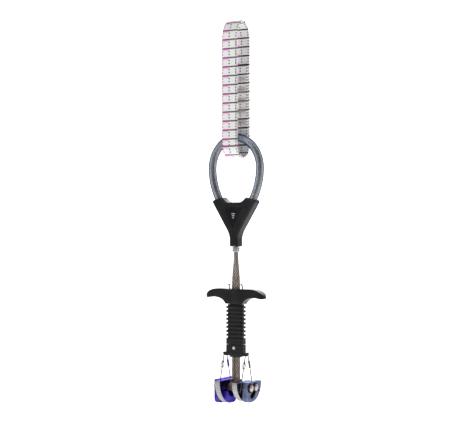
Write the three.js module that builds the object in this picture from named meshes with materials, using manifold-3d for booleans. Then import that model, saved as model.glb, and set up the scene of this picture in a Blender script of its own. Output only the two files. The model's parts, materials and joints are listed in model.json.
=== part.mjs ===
// Spring-loaded camming device for rock climbing: a double-axle head with two pairs of toothed lobes
// of two sizes, a cable stem with a coated thumb loop, a sliding finger trigger with four trigger
// wires, and a sewn webbing sling. Millimetres, +Z up. X runs along the axles, and the lobes open
// towards +Y and -Y. Heights below are above the axle line. The whole group is lowered at the end,
// so that the origin is where a carabiner sits in the top of the sling.
import * as THREE from 'three';
import { mergeVertices } from 'three/addons/utils/BufferGeometryUtils.js';
import Module from 'manifold-3d';

const wasm = await Module();
wasm.setup();

const DEG = Math.PI / 180;

// ---- driving dimensions -------------------------------------------------------------------------

const FIT = 0.25; // gap between a piece and what passes through it or seats on it
const RUN = 0.3; // gap between faces that turn or slide past each other

// axles and terminal
const AXLE_SPACING = 7;
const AXLE_RADIUS = 1.8;
const AXLE_HEAD_RIM = 0.75; // how far an axle's head stands out round its shaft
const AXLE_HEAD_HEIGHT = 1;
const WASHER_THICKNESS = 0.5;
const WASHER_RIM = 0.45; // how far a washer stands out round an axle's head
const TERMINAL_SIDE = 0.3; // metal beside the cable sockets
const TERMINAL_WALL = 1.3; // metal around an axle
const TERMINAL_SHOULDER = 0.85; // metal in front of and behind the cable sockets
const TERMINAL_TOP = 6;
const SOCKET_LIFT = 0.6; // from the top of the axles up to the cable sockets' floors

// lobes
const CAM_ANGLE = 14.5 * DEG;
const LOBE_THICKNESS = 4.7;
const LOBE_SWING = 70 * DEG;
const SPIRAL_START = -75 * DEG;
const SPIRAL_END = 15.5 * DEG;
const GREY_TIP_RADIUS = 17.6;
const PURPLE_TIP_RADIUS = 21;
const LOBE_BACK = 4.5; // how far a lobe reaches behind its pivot
const HEEL_FLAT = 0.5; // flat end of a lobe's heel
const TOOTH_COUNT = 14;
const TOOTH_DEPTH = 0.35;
const TOOTH_CREST = 0.62; // share of a tooth's pitch
const TOOTH_VALLEY = 0.8; // where its groove is deepest, as a share of the pitch
const HOOK_RADIUS = 13.2; // from a lobe's pivot to its wire hook
const HOOK_ANGLE = -11 * DEG;
const HOOK_RUN = 1.9; // length of the hook slot between the centres of its round ends
const HOOK_PLAY = 0.6; // room round the hook in its slot
const SPRING_POCKET_DEPTH = 1.9;

// torsion springs
const SPRING_WIRE = 0.25; // radius
const SPRING_PLAY = 0.7; // between an axle and the inside of a coil
const SPRING_TURNS = 2.5;
const SPRING_PITCH = 0.62;
const SPRING_TANG = 0.9; // how far a spring's outer end reaches out of its coil
const SPRING_LEG = 4.5;

// trigger wires
const WIRE_RADIUS = 0.4;
const WIRE_PIVOT_DEPTH = 0.7; // from the flange's underside up to a wire's pivot
const WIRE_SPREAD = 2; // from the stem's middle plane to a wire's top
const WIRE_GAP = 1.7; // between an inner and an outer lobe
const CRIMP_LENGTH = 6;
const CRIMP_RADIUS = 0.95;
const CRIMP_DROP = 7.5; // from a wire's pivot down to the middle of its crimp or cable eye
const BALL_RADIUS = 0.62; // ball on a wire's upper end
const WIRE_BEND = 0.9; // length of the bend into the lobe
const EYE_RADIUS = 1.25;
const EYE_WIRE = 0.3; // radius of the wire round an eye
const EYE_STRETCH = 2.4; // an eye's length over its width

// trigger
const FLANGE_BOTTOM = 24.8;
const FLANGE_THICKNESS = 2.8;
const FLANGE_RIM = 0.9; // from a wire's pivot to the flange's end
const SOCKET_RADIUS = 0.95; // room for the ball on a wire's upper end
const SOCKET_LENGTH = 2.6;
const SLEEVE_WIDTH = 15.8;
const SLEEVE_WALL = 1.3; // plastic in front of and behind the cables
const BLOCK_HEIGHT = 6.4;
const RIB_COUNT = 10;
const RIB_PITCH = 3.2;
const RIB_DEPTH = 1.3;
const RIB_SHARE = 0.55; // of the pitch
const FIRST_RIB_SHARE = 0.85;
const BAR_HALF_SPAN = 28;
const BAR_WALL = 0.9;
const BAR_HEIGHT = 12.2;
const HOOK_SPREAD = 6; // from the middle of the bar to each wire hook on its top
const HOOK_SEAT = 2.2; // how deep a wire hook stands in the bar
const HOOK_RISE = 3.5;
const HOOK_WIRE = 0.5; // radius

// cable and thumb loop
const CABLE_RADIUS = 1.85;
const CABLE_GAP = 0.2; // between the two cables
const TWIST = 57 * DEG; // the pair of cables turns this much below the ferrule
const FREE_STEM = 29.5; // bare cable between the trigger at rest and the ferrule
const FERRULE_HEIGHT = 4;
const FERRULE_SIDE = 0.95; // metal at the ends of the ferrule's oval
const FERRULE_FRONT = 1.35; // metal in front of and behind the cables
const SADDLE_HEIGHT = 37.7;
const NECK_LENGTH = 5; // straight cable in the saddle's neck
const NECK_CURVE = 8.7; // the start of the cable's curve above it
const SADDLE_WALL = 0.95; // plastic in front of and behind the clear sleeve
const SADDLE_EDGE = 0.55; // plastic outside the clear sleeve
const TUBE_WALL = 1.2; // clear sleeve on the thumb loop
const TUBE_SEAT = 4; // how deep it sits in the saddle
const LOOP_FOOT = 16; // cable axis at the saddle's shoulder
const FOOT_SLOPE = [9.8, 17.6]; // the cable's curve below that place, across and up
const LOOP_HALF_WIDTH = 22.7;
const LOOP_RISE = 25; // from the saddle's shoulders to the loop's widest place
const LOOP_HEIGHT = 49.7; // from the saddle's shoulders to the cable's axis at the crown

// label panel in the saddle
const PANEL_HALF_WIDTH = 8.2;
const PANEL_HEIGHT = 17.4;
const PANEL_MARGIN = 6; // from the saddle's shoulders down to the panel
const PANEL_DEPTH = 0.7;
const LABEL_THICKNESS = 0.4;
const LABEL_GAP = 0.05; // glue behind a label

// sling
const STRAP_WIDTH = 14;
const STRAP_THICKNESS = 1.8;
const SLING_DROP = 16.5; // how far the strap's bight hangs below the loop's crown
const SLING_LENGTH = 110.4;
const SLING_HALF_DEPTH = 10;
const OVERLAP_LENGTH = 58; // strap's overlapped, stitched end
const OVERLAP_RISE = 16.8; // from the bight up to the overlap's lower end
const OVERLAP_GAP = 0.15; // between the two layers
const OVERLAP_INSET = 0.2; // from the strap's edge
const TOP_STRETCH = 1.6; // height of the sling's upper bend over its half depth

// ---- values worked out from them ----------------------------------------------------------------

const AXLE_OFFSET = AXLE_SPACING / 2;
const CABLE_PITCH = CABLE_RADIUS + CABLE_GAP / 2;
const SOCKET_FLOOR = AXLE_RADIUS + SOCKET_LIFT;
const TERMINAL_HALF_WIDTH = CABLE_PITCH + CABLE_RADIUS + FIT + TERMINAL_SIDE;
const AXLE_HEAD_RADIUS = AXLE_RADIUS + AXLE_HEAD_RIM;
const SPRING_COIL = AXLE_RADIUS + SPRING_PLAY + SPRING_WIRE;
const INNER_LOBE = TERMINAL_HALF_WIDTH + RUN;
const WIRE_PLANE = INNER_LOBE + LOBE_THICKNESS + WIRE_GAP / 2;
const OUTER_LOBE = INNER_LOBE + LOBE_THICKNESS + WIRE_GAP;
const LOBE_FACE = OUTER_LOBE + LOBE_THICKNESS;
const BORE = AXLE_RADIUS + FIT;
const SLOT_HALF_WIDTH = AXLE_RADIUS + RUN;
const BLOCK_BOTTOM = FLANGE_BOTTOM + FLANGE_THICKNESS;
const RIBS_BOTTOM = BLOCK_BOTTOM + BLOCK_HEIGHT;
const BAR_BOTTOM = RIBS_BOTTOM + RIB_COUNT * RIB_PITCH + RUN;
const BAR_TOP = BAR_BOTTOM + BAR_HEIGHT;
const WIRE_TOP = FLANGE_BOTTOM + WIRE_PIVOT_DEPTH;
const CRIMP_HEIGHT = WIRE_TOP - CRIMP_DROP;
const FERRULE_BOTTOM = BAR_TOP + FREE_STEM;
const SADDLE_BOTTOM = FERRULE_BOTTOM + FERRULE_HEIGHT + RUN;
const SADDLE_TOP = SADDLE_BOTTOM + SADDLE_HEIGHT;
const LOOP_WIDEST = SADDLE_TOP + LOOP_RISE;
const LOOP_CROWN = SADDLE_TOP + LOOP_HEIGHT;
const PANEL_TOP = SADDLE_TOP - PANEL_MARGIN;
const PANEL_BOTTOM = PANEL_TOP - PANEL_HEIGHT;
const SLING_BOTTOM = LOOP_CROWN - SLING_DROP;
const SLING_TOP = SLING_BOTTOM + SLING_LENGTH;
const OVERLAP_BOTTOM = SLING_BOTTOM + OVERLAP_RISE;
const OVERLAP_TOP = OVERLAP_BOTTOM + OVERLAP_LENGTH;
const HOOK_OUT = HOOK_RADIUS * Math.cos(HOOK_ANGLE) - AXLE_OFFSET;
const HOOK_UP = HOOK_RADIUS * Math.sin(HOOK_ANGLE);
const FLANGE_WIDTH = 2 * (WIRE_PLANE + FLANGE_RIM);
const SLEEVE_DEPTH = 2 * (CABLE_RADIUS + FIT + SLEEVE_WALL);
const TUBE_BORE = CABLE_RADIUS + FIT;
const TUBE_RADIUS = TUBE_BORE + TUBE_WALL;
const SADDLE_DEPTH = 2 * (TUBE_RADIUS + FIT + SADDLE_WALL);
const SADDLE_SHOULDER = LOOP_FOOT + TUBE_RADIUS + FIT + SADDLE_EDGE;

// How far the trigger slides while the lobes turn through their swing.
function triggerStroke() {
  const length = Math.hypot(HOOK_OUT - WIRE_SPREAD, WIRE_TOP - HOOK_UP);
  const pulledAngle = HOOK_ANGLE + LOBE_SWING;
  const pulledOut = HOOK_RADIUS * Math.cos(pulledAngle) - AXLE_OFFSET - WIRE_SPREAD;
  return HOOK_RADIUS * Math.sin(pulledAngle) + Math.sqrt(length ** 2 - pulledOut ** 2) - WIRE_TOP;
}

const STROKE = triggerStroke();

// ---- finishes -----------------------------------------------------------------------------------

const finishes = {
  purple: { color: 0x4a3a9c, roughness: 0.35, metalness: 0.8 },
  grey: { color: 0x6f7688, roughness: 0.35, metalness: 0.8 },
  steel: { color: 0xb9b4ae, roughness: 0.3, metalness: 1 },
  cable: { color: 0x8d857c, roughness: 0.4, metalness: 1 },
  bronze: { color: 0xb9805a, roughness: 0.35, metalness: 1 },
  aluminium: { color: 0xc9c9c6, roughness: 0.4, metalness: 1 },
  plastic: { color: 0x1d1d21, roughness: 0.55, metalness: 0 },
  clear: { color: 0xaebfd6, roughness: 0.15, metalness: 0 },
  label: { color: 0x141417, roughness: 0.4, metalness: 0 },
  webbing: { color: 0xe9e6ec, roughness: 0.85, metalness: 0 },
};

const part = new THREE.Group();

function addPiece(name, finish, geometry) {
  const mesh = new THREE.Mesh(geometry, new THREE.MeshStandardMaterial(finishes[finish]));
  mesh.name = name;
  part.add(mesh);
  return mesh;
}

// ---- solids -------------------------------------------------------------------------------------

function toSolid(geometry) {
  const bare = geometry.clone();
  bare.deleteAttribute('normal');
  bare.deleteAttribute('uv');
  const merged = mergeVertices(bare, 1e-4);
  return new wasm.Manifold(new wasm.Mesh({
    numProp: 3,
    vertProperties: new Float32Array(merged.attributes.position.array),
    triVerts: new Uint32Array(merged.index.array),
  }));
}

function toGeometry(solid) {
  const mesh = solid.getMesh();
  const geometry = new THREE.BufferGeometry();
  geometry.setAttribute('position', new THREE.BufferAttribute(mesh.vertProperties, 3));
  geometry.setIndex(new THREE.BufferAttribute(mesh.triVerts, 1));
  return geometry;
}

function joined(...geometries) {
  return toGeometry(geometries.map(toSolid).reduce((whole, piece) => whole.add(piece)));
}

function shared(first, second) {
  return toGeometry(toSolid(first).intersect(toSolid(second)));
}

function cut(geometry, ...tools) {
  return toGeometry(tools.map(toSolid).reduce((whole, tool) => whole.subtract(tool), toSolid(geometry)));
}

// An outline of [y, z] points becomes a plate from x0 to x1.
function plateAlongX(outline, x0, x1) {
  const shape = new THREE.Shape(outline.map(([y, z]) => new THREE.Vector2(y, z)));
  const plate = new THREE.ExtrudeGeometry(shape, { depth: x1 - x0, bevelEnabled: false });
  const turn = new THREE.Matrix4().makeBasis(
    new THREE.Vector3(0, 1, 0), new THREE.Vector3(0, 0, 1), new THREE.Vector3(1, 0, 0));
  return plate.applyMatrix4(turn).translate(x0, 0, 0);
}

function piercedPlateAlongX(outline, holes, x0, x1) {
  return cut(plateAlongX(outline, x0, x1), ...holes.map((hole) => plateAlongX(hole, x0 - 1, x1 + 1)));
}

// A shape drawn in x and z becomes a plate centred on the plane y = 0, with softened edges.
function plateAlongY(shape, depth, bevel, curveSegments = 12) {
  const plate = new THREE.ExtrudeGeometry(shape, {
    depth: depth - 2 * bevel,
    bevelEnabled: bevel > 0,
    bevelSize: bevel,
    bevelOffset: -bevel,
    bevelThickness: bevel,
    bevelSegments: 2,
    curveSegments,
  });
  return plate.rotateX(Math.PI / 2).translate(0, depth / 2 - bevel, 0);
}

// A shape drawn in x and y stands up from z0 to z1.
function plateAlongZ(shape, z0, z1, curveSegments = 1) {
  const plate = new THREE.ExtrudeGeometry(shape, { depth: z1 - z0, bevelEnabled: false, curveSegments });
  return plate.translate(0, 0, z0);
}

function roundedRectangle(width, depth, radius) {
  const x = width / 2 - radius;
  const y = depth / 2 - radius;
  const shape = new THREE.Shape();
  shape.absarc(x, y, radius, 0, Math.PI / 2);
  shape.absarc(-x, y, radius, Math.PI / 2, Math.PI);
  shape.absarc(-x, -y, radius, Math.PI, 1.5 * Math.PI);
  shape.absarc(x, -y, radius, 1.5 * Math.PI, 2 * Math.PI);
  shape.closePath();
  return shape;
}

function circlePoints(y, z, radius, count = 20) {
  return Array.from({ length: count }, (_, i) => {
    const angle = (2 * Math.PI * i) / count;
    return [y + radius * Math.cos(angle), z + radius * Math.sin(angle)];
  });
}

function section(radius, sides) {
  return new THREE.Shape(circlePoints(0, 0, radius, sides).map(([x, y]) => new THREE.Vector2(x, y)));
}

function tube(path, radius, sides, steps, bore = 0) {
  const shape = section(radius, sides);
  if (bore) shape.holes.push(section(bore, sides));
  return new THREE.ExtrudeGeometry(shape, { steps, bevelEnabled: false, extrudePath: path });
}

function roundBarAlongX(radius, x0, x1, y, z, sides = 24) {
  return new THREE.CylinderGeometry(radius, radius, x1 - x0, sides)
    .rotateZ(Math.PI / 2)
    .translate((x0 + x1) / 2, y, z);
}

// ---- lobes --------------------------------------------------------------------------------------

// In a lobe's own drawing, u runs from its pivot towards its cam face and v runs up.
function polar(radius, angle) {
  return [radius * Math.cos(angle), radius * Math.sin(angle)];
}

function camRadius(tipRadius, angle) {
  return tipRadius * Math.exp((angle - SPIRAL_END) * Math.tan(CAM_ANGLE));
}

function camFace(tipRadius) {
  const points = [];
  const step = (SPIRAL_END - SPIRAL_START) / TOOTH_COUNT;
  for (let tooth = 0; tooth < TOOTH_COUNT; tooth += 1) {
    const start = SPIRAL_START + tooth * step;
    points.push(polar(camRadius(tipRadius, start), start));
    const crest = start + TOOTH_CREST * step;
    const valley = start + TOOTH_VALLEY * step;
    points.push(polar(camRadius(tipRadius, crest), crest));
    points.push(polar(camRadius(tipRadius, valley) - TOOTH_DEPTH, valley));
  }
  points.push(polar(tipRadius, SPIRAL_END));
  return points;
}

function lobeOutline(tipRadius) {
  const [, tipHeight] = polar(tipRadius, SPIRAL_END);
  const bottom = camRadius(tipRadius, SPIRAL_START) * Math.sin(SPIRAL_START);
  const corner = LOBE_BACK - HEEL_FLAT;
  const heel = [];
  for (let i = 0; i <= 5; i += 1) {
    const angle = Math.PI + (i / 5) * (Math.PI / 2);
    heel.push([corner * Math.cos(angle) - HEEL_FLAT, bottom + corner + corner * Math.sin(angle)]);
  }
  return [...heel, ...camFace(tipRadius), [-LOBE_BACK, tipHeight]];
}

// The slot that the other axle runs in as the lobe turns.
function axleSlot() {
  const points = [];
  const count = 10;
  const last = -LOBE_SWING;
  for (let i = 0; i <= count; i += 1) points.push(polar(AXLE_SPACING + SLOT_HALF_WIDTH, (last * i) / count));
  const [endU, endV] = polar(AXLE_SPACING, last);
  for (let i = 1; i < 6; i += 1) {
    const [u, v] = polar(SLOT_HALF_WIDTH, last - (Math.PI * i) / 6);
    points.push([endU + u, endV + v]);
  }
  for (let i = count; i >= 0; i -= 1) points.push(polar(AXLE_SPACING - SLOT_HALF_WIDTH, (last * i) / count));
  for (let i = 1; i < 6; i += 1) {
    const [u, v] = polar(SLOT_HALF_WIDTH, Math.PI - (Math.PI * i) / 6);
    points.push([AXLE_SPACING + u, v]);
  }
  return points;
}

// The short radial slot that the wire's hook sits in.
function hookSlot() {
  const half = WIRE_RADIUS + HOOK_PLAY;
  const outer = HOOK_RADIUS - HOOK_PLAY / 2;
  const points = [];
  for (let i = 0; i <= 6; i += 1) {
    const [u, v] = polar(half, -Math.PI / 2 + (Math.PI * i) / 6);
    points.push([outer + u, v]);
  }
  for (let i = 0; i <= 6; i += 1) {
    const [u, v] = polar(half, Math.PI / 2 + (Math.PI * i) / 6);
    points.push([outer - HOOK_RUN + u, v]);
  }
  const cos = Math.cos(HOOK_ANGLE);
  const sin = Math.sin(HOOK_ANGLE);
  return points.map(([u, v]) => [u * cos - v * sin, u * sin + v * cos]);
}

// face is +1 for a lobe that opens towards +Y, and -1 for one that opens towards -Y. pocketSide says
// which face, low or high x, holds the spring pocket.
function makeLobe(name, finish, tipRadius, face, x0, pocketSide) {
  const pivot = -face * AXLE_OFFSET;
  const place = (points) => points.map(([u, v]) => [pivot + face * u, v]);
  const holes = [circlePoints(0, 0, BORE), axleSlot(), hookSlot()].map(place);
  const plate = piercedPlateAlongX(place(lobeOutline(tipRadius)), holes, x0, x0 + LOBE_THICKNESS);
  const mouth = pocketSide > 0 ? x0 + LOBE_THICKNESS : x0;
  const floor = mouth - pocketSide * SPRING_POCKET_DEPTH;
  const beyond = mouth + pocketSide;
  const from = Math.min(floor, beyond);
  const to = Math.max(floor, beyond);
  const pocket = roundBarAlongX(SPRING_COIL + SPRING_WIRE + RUN, from, to, pivot, 0, 28);
  const tang = new THREE.BoxGeometry(to - from, 4 * SPRING_WIRE, 2)
    .translate((from + to) / 2, pivot, -SPRING_COIL - 1);
  addPiece(name, finish, cut(plate, pocket, tang));
}

makeLobe('lobe_purple_outer', 'purple', PURPLE_TIP_RADIUS, 1, -OUTER_LOBE - LOBE_THICKNESS, 1);
makeLobe('lobe_purple_inner', 'purple', PURPLE_TIP_RADIUS, -1, -INNER_LOBE - LOBE_THICKNESS, -1);
makeLobe('lobe_grey_inner', 'grey', GREY_TIP_RADIUS, -1, INNER_LOBE, 1);
makeLobe('lobe_grey_outer', 'grey', GREY_TIP_RADIUS, 1, OUTER_LOBE, -1);

// ---- torsion springs ----------------------------------------------------------------------------

// The coil sits round its lobe's axle. One end rises between the lobes, beside the wires, and the other
// end stands in the lobe's notch. way is the direction along X from that gap into the lobe.
class SpringPath extends THREE.Curve {
  constructor(pivot, x, way) {
    super();
    Object.assign(this, { pivot, x, way });
  }

  getPoint(t, target = new THREE.Vector3()) {
    const inward = -Math.sign(this.pivot);
    const legShare = 0.16;
    const tangShare = 0.94;
    const turn = Math.PI * 2 * SPRING_TURNS;
    if (t < legShare) {
      const along = SPRING_LEG * (1 - t / legShare);
      return target.set(this.x, this.pivot + inward * SPRING_COIL, along);
    }
    const wound = Math.min((t - legShare) / (tangShare - legShare), 1);
    const angle = wound * (turn - Math.PI * 0.5);
    const reach = SPRING_COIL + Math.max(0, (t - tangShare) / (1 - tangShare)) * SPRING_TANG;
    return target.set(
      this.x + this.way * wound * SPRING_TURNS * SPRING_PITCH,
      this.pivot + inward * reach * Math.cos(angle),
      -reach * Math.sin(angle));
  }
}

function makeSpring(name, pivot, x, way) {
  addPiece(name, 'bronze', tube(new SpringPath(pivot, x, way), SPRING_WIRE, 5, 36));
}

makeSpring('spring_purple_outer', -AXLE_OFFSET, -WIRE_PLANE, -1);
makeSpring('spring_purple_inner', AXLE_OFFSET, -WIRE_PLANE, 1);
makeSpring('spring_grey_inner', AXLE_OFFSET, WIRE_PLANE, -1);
makeSpring('spring_grey_outer', -AXLE_OFFSET, WIRE_PLANE, 1);

// ---- axles, washers and terminal ----------------------------------------------------------------

function makeAxle(name, y) {
  const neck = LOBE_FACE + RUN + WASHER_THICKNESS + FIT;
  const profile = [new THREE.Vector2(0, -neck - AXLE_HEAD_HEIGHT)];
  const dome = [0.45, 0.8, 1];
  for (const reach of dome) {
    const rise = Math.sqrt(1 - (reach * 0.98) ** 2);
    profile.push(new THREE.Vector2(reach * AXLE_HEAD_RADIUS, -neck - rise * AXLE_HEAD_HEIGHT));
  }
  profile.push(new THREE.Vector2(AXLE_HEAD_RADIUS, -neck));
  profile.push(new THREE.Vector2(AXLE_RADIUS, -neck));
  const mirrored = profile.map((p) => new THREE.Vector2(p.x, -p.y)).reverse();
  addPiece(name, 'steel', new THREE.LatheGeometry([...profile, ...mirrored], 20)
    .rotateZ(-Math.PI / 2)
    .translate(0, y, 0));
}

makeAxle('axle_front', -AXLE_OFFSET);
makeAxle('axle_rear', AXLE_OFFSET);

function ringAlongX(bore, radius, x0, x1, y) {
  const profile = [[bore, x0], [radius, x0], [radius, x1], [bore, x1], [bore, x0]];
  return new THREE.LatheGeometry(profile.map(([r, x]) => new THREE.Vector2(r, x)), 20)
    .rotateZ(-Math.PI / 2)
    .translate(0, y, 0);
}

for (const [sideName, side] of [['left', -1], ['right', 1]]) {
  for (const [endName, y] of [['front', -AXLE_OFFSET], ['rear', AXLE_OFFSET]]) {
    const near = side * (LOBE_FACE + RUN);
    const far = side * (LOBE_FACE + RUN + WASHER_THICKNESS);
    addPiece(`axle_washer_${endName}_${sideName}`, 'steel',
      ringAlongX(BORE, AXLE_HEAD_RADIUS + WASHER_RIM, Math.min(near, far), Math.max(near, far), y));
  }
}

function terminalOutline() {
  const radius = AXLE_RADIUS + TERMINAL_WALL;
  const shoulder = CABLE_RADIUS + TERMINAL_SHOULDER;
  const points = [];
  for (let i = 0; i <= 8; i += 1) {
    const [y, z] = polar(radius, Math.PI / 2 + (Math.PI * i) / 8);
    points.push([y - AXLE_OFFSET, z]);
  }
  for (let i = 0; i <= 8; i += 1) {
    const [y, z] = polar(radius, -Math.PI / 2 + (Math.PI * i) / 8);
    points.push([y + AXLE_OFFSET, z]);
  }
  points.push([shoulder, radius + 0.6], [shoulder, TERMINAL_TOP]);
  points.push([-shoulder, TERMINAL_TOP], [-shoulder, radius + 0.6]);
  return points;
}

const terminalHoles = [-AXLE_OFFSET, AXLE_OFFSET].map((y) => circlePoints(y, 0, BORE, 24));
const terminalBlock = piercedPlateAlongX(
  terminalOutline(), terminalHoles, -TERMINAL_HALF_WIDTH, TERMINAL_HALF_WIDTH);
const cableSockets = [-CABLE_PITCH, CABLE_PITCH].map((x) => new THREE.CylinderGeometry(
  CABLE_RADIUS + FIT, CABLE_RADIUS + FIT, TERMINAL_TOP + 1 - SOCKET_FLOOR, 20)
  .rotateX(Math.PI / 2)
  .translate(x, 0, (TERMINAL_TOP + 1 + SOCKET_FLOOR) / 2));
addPiece('terminal', 'steel', cut(terminalBlock, ...cableSockets));

// ---- cable, from one socket round the thumb loop to the other ------------------------------------

function pairAngle(z) {
  const share = THREE.MathUtils.smoothstep(z, BAR_TOP, FERRULE_BOTTOM);
  return -TWIST * share;
}

function legPoint(side, z) {
  const angle = pairAngle(z);
  return new THREE.Vector3(side * CABLE_PITCH * Math.cos(angle), side * CABLE_PITCH * Math.sin(angle), z);
}

function loopSide(side) {
  const foot = new THREE.Vector3(side * LOOP_FOOT, 0, SADDLE_TOP);
  const widest = new THREE.Vector3(side * LOOP_HALF_WIDTH, 0, LOOP_WIDEST);
  const crown = new THREE.Vector3(0, 0, LOOP_CROWN);
  const round = 0.5523;
  const lower = new THREE.CubicBezierCurve3(
    foot,
    new THREE.Vector3(side * (LOOP_FOOT + 3.9), 0, SADDLE_TOP + 7),
    new THREE.Vector3(side * LOOP_HALF_WIDTH, 0, LOOP_WIDEST - 9),
    widest);
  const upper = new THREE.CubicBezierCurve3(
    widest,
    new THREE.Vector3(side * LOOP_HALF_WIDTH, 0, LOOP_WIDEST + round * (LOOP_CROWN - LOOP_WIDEST)),
    new THREE.Vector3(side * round * LOOP_HALF_WIDTH, 0, LOOP_CROWN),
    crown);
  return [...lower.getPoints(6), ...upper.getPoints(8).slice(1)];
}

function cableRoute(from) {
  const legs = {};
  for (const side of [-1, 1]) {
    const leg = [];
    const neckTop = SADDLE_BOTTOM + NECK_LENGTH;
    for (let z = from; z < neckTop; z += 7) leg.push(legPoint(side, z));
    const start = legPoint(side, neckTop);
    leg.push(start);
    const foot = new THREE.Vector3(side * LOOP_FOOT, 0, SADDLE_TOP);
    const through = new THREE.CubicBezierCurve3(
      start,
      start.clone().add(new THREE.Vector3(0, 0, NECK_CURVE)),
      foot.clone().sub(new THREE.Vector3(side * FOOT_SLOPE[0], 0, FOOT_SLOPE[1])),
      foot);
    leg.push(...through.getPoints(6).slice(1, -1), ...loopSide(side));
    legs[side] = leg;
  }
  return new THREE.CatmullRomCurve3([...legs[-1], ...legs[1].reverse().slice(1)], false, 'centripetal');
}

const route = cableRoute(SOCKET_FLOOR + RUN);
addPiece('main_cable', 'cable', tube(route, CABLE_RADIUS, 8, 84));

// ---- clear sleeve on the thumb loop ---------------------------------------------------------------

function sleeveRoute(seat) {
  const slope = new THREE.Vector3(FOOT_SLOPE[0], 0, FOOT_SLOPE[1]).normalize().multiplyScalar(seat);
  const ends = [-1, 1].map((side) => new THREE.Vector3(
    side * (LOOP_FOOT - slope.x), 0, SADDLE_TOP - slope.z));
  const left = [ends[0], ...loopSide(-1)];
  const right = [ends[1], ...loopSide(1)].reverse().slice(1);
  return new THREE.CatmullRomCurve3([...left, ...right], false, 'centripetal');
}

addPiece('loop_sleeve', 'clear', tube(sleeveRoute(TUBE_SEAT), TUBE_RADIUS, 10, 32, TUBE_BORE));

// ---- ferrule --------------------------------------------------------------------------------------

const ferruleShape = new THREE.Shape();
ferruleShape.absellipse(
  0, 0, CABLE_PITCH + CABLE_RADIUS + FERRULE_SIDE, CABLE_RADIUS + FERRULE_FRONT, 0, 2 * Math.PI);
const ferruleBore = new THREE.Path();
const ferruleHole = CABLE_RADIUS + FIT;
ferruleBore.absarc(CABLE_PITCH, 0, ferruleHole, -Math.PI / 2, Math.PI / 2);
ferruleBore.absarc(-CABLE_PITCH, 0, ferruleHole, Math.PI / 2, 1.5 * Math.PI);
ferruleBore.closePath();
ferruleShape.holes.push(ferruleBore);
addPiece('ferrule', 'aluminium',
  plateAlongZ(ferruleShape, FERRULE_BOTTOM, FERRULE_BOTTOM + FERRULE_HEIGHT, 10).rotateZ(-TWIST));

// ---- saddle -----------------------------------------------------------------------------------------

function saddleShape() {
  const neck = CABLE_RADIUS + CABLE_PITCH * Math.cos(TWIST) + FIT + SADDLE_EDGE;
  const bumpX = 11.3;
  const shape = new THREE.Shape();
  shape.moveTo(neck, SADDLE_BOTTOM);
  shape.lineTo(neck, SADDLE_BOTTOM + 6);
  shape.quadraticCurveTo(neck + 0.4, SADDLE_BOTTOM + 10, neck + 3, SADDLE_BOTTOM + 14);
  shape.lineTo(SADDLE_SHOULDER, SADDLE_TOP - 2.6);
  shape.quadraticCurveTo(SADDLE_SHOULDER + 0.5, SADDLE_TOP - 0.6, SADDLE_SHOULDER - 1.2, SADDLE_TOP - 0.2);
  shape.lineTo(bumpX, SADDLE_TOP + 1.8);
  shape.quadraticCurveTo(bumpX - 3.4, SADDLE_TOP - 2.2, bumpX - 6.8, SADDLE_TOP - 2.2);
  shape.lineTo(6.8 - bumpX, SADDLE_TOP - 2.2);
  shape.quadraticCurveTo(3.4 - bumpX, SADDLE_TOP - 2.2, -bumpX, SADDLE_TOP + 1.8);
  shape.lineTo(1.2 - SADDLE_SHOULDER, SADDLE_TOP - 0.2);
  shape.quadraticCurveTo(-SADDLE_SHOULDER - 0.5, SADDLE_TOP - 0.6, -SADDLE_SHOULDER, SADDLE_TOP - 2.6);
  shape.lineTo(-neck - 3, SADDLE_BOTTOM + 14);
  shape.quadraticCurveTo(-neck - 0.4, SADDLE_BOTTOM + 10, -neck, SADDLE_BOTTOM + 6);
  shape.lineTo(-neck, SADDLE_BOTTOM);
  shape.closePath();
  return shape;
}

function panelShape(inset) {
  const shape = new THREE.Shape();
  const halfWidth = PANEL_HALF_WIDTH - 1.7 * inset;
  shape.moveTo(-halfWidth, PANEL_TOP - inset);
  shape.lineTo(0, PANEL_BOTTOM + 2 * inset);
  shape.lineTo(halfWidth, PANEL_TOP - inset);
  shape.closePath();
  return shape;
}

function flatAlongY(shape, y0, y1) {
  return new THREE.ExtrudeGeometry(shape, { depth: y1 - y0, bevelEnabled: false })
    .rotateX(Math.PI / 2)
    .translate(0, y1, 0);
}

const saddleFace = SADDLE_DEPTH / 2;
const panelFloor = saddleFace - PANEL_DEPTH;
addPiece('saddle', 'plastic', cut(
  plateAlongY(saddleShape(), SADDLE_DEPTH, 1.3, 6),
  flatAlongY(panelShape(0), -saddleFace - 1, -panelFloor),
  flatAlongY(panelShape(0), panelFloor, saddleFace + 1),
  tube(route, CABLE_RADIUS + FIT, 8, 84),
  tube(sleeveRoute(TUBE_SEAT + FIT), TUBE_RADIUS + FIT, 12, 32)));

const labelBack = panelFloor + LABEL_GAP;
const labelFace = labelBack + LABEL_THICKNESS;
addPiece('label_front', 'label', flatAlongY(panelShape(FIT), -labelFace, -labelBack));
addPiece('label_rear', 'label', flatAlongY(panelShape(FIT), labelBack, labelFace));

// ---- trigger ------------------------------------------------------------------------------------------

function cableWindow(depth, z0, z1) {
  return plateAlongZ(roundedRectangle(windowWidth, depth, 1.8), z0, z1);
}

const straightWindow = 2 * (CABLE_RADIUS + FIT);
const windowWidth = 2 * (CABLE_PITCH + CABLE_RADIUS + FIT);

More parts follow.
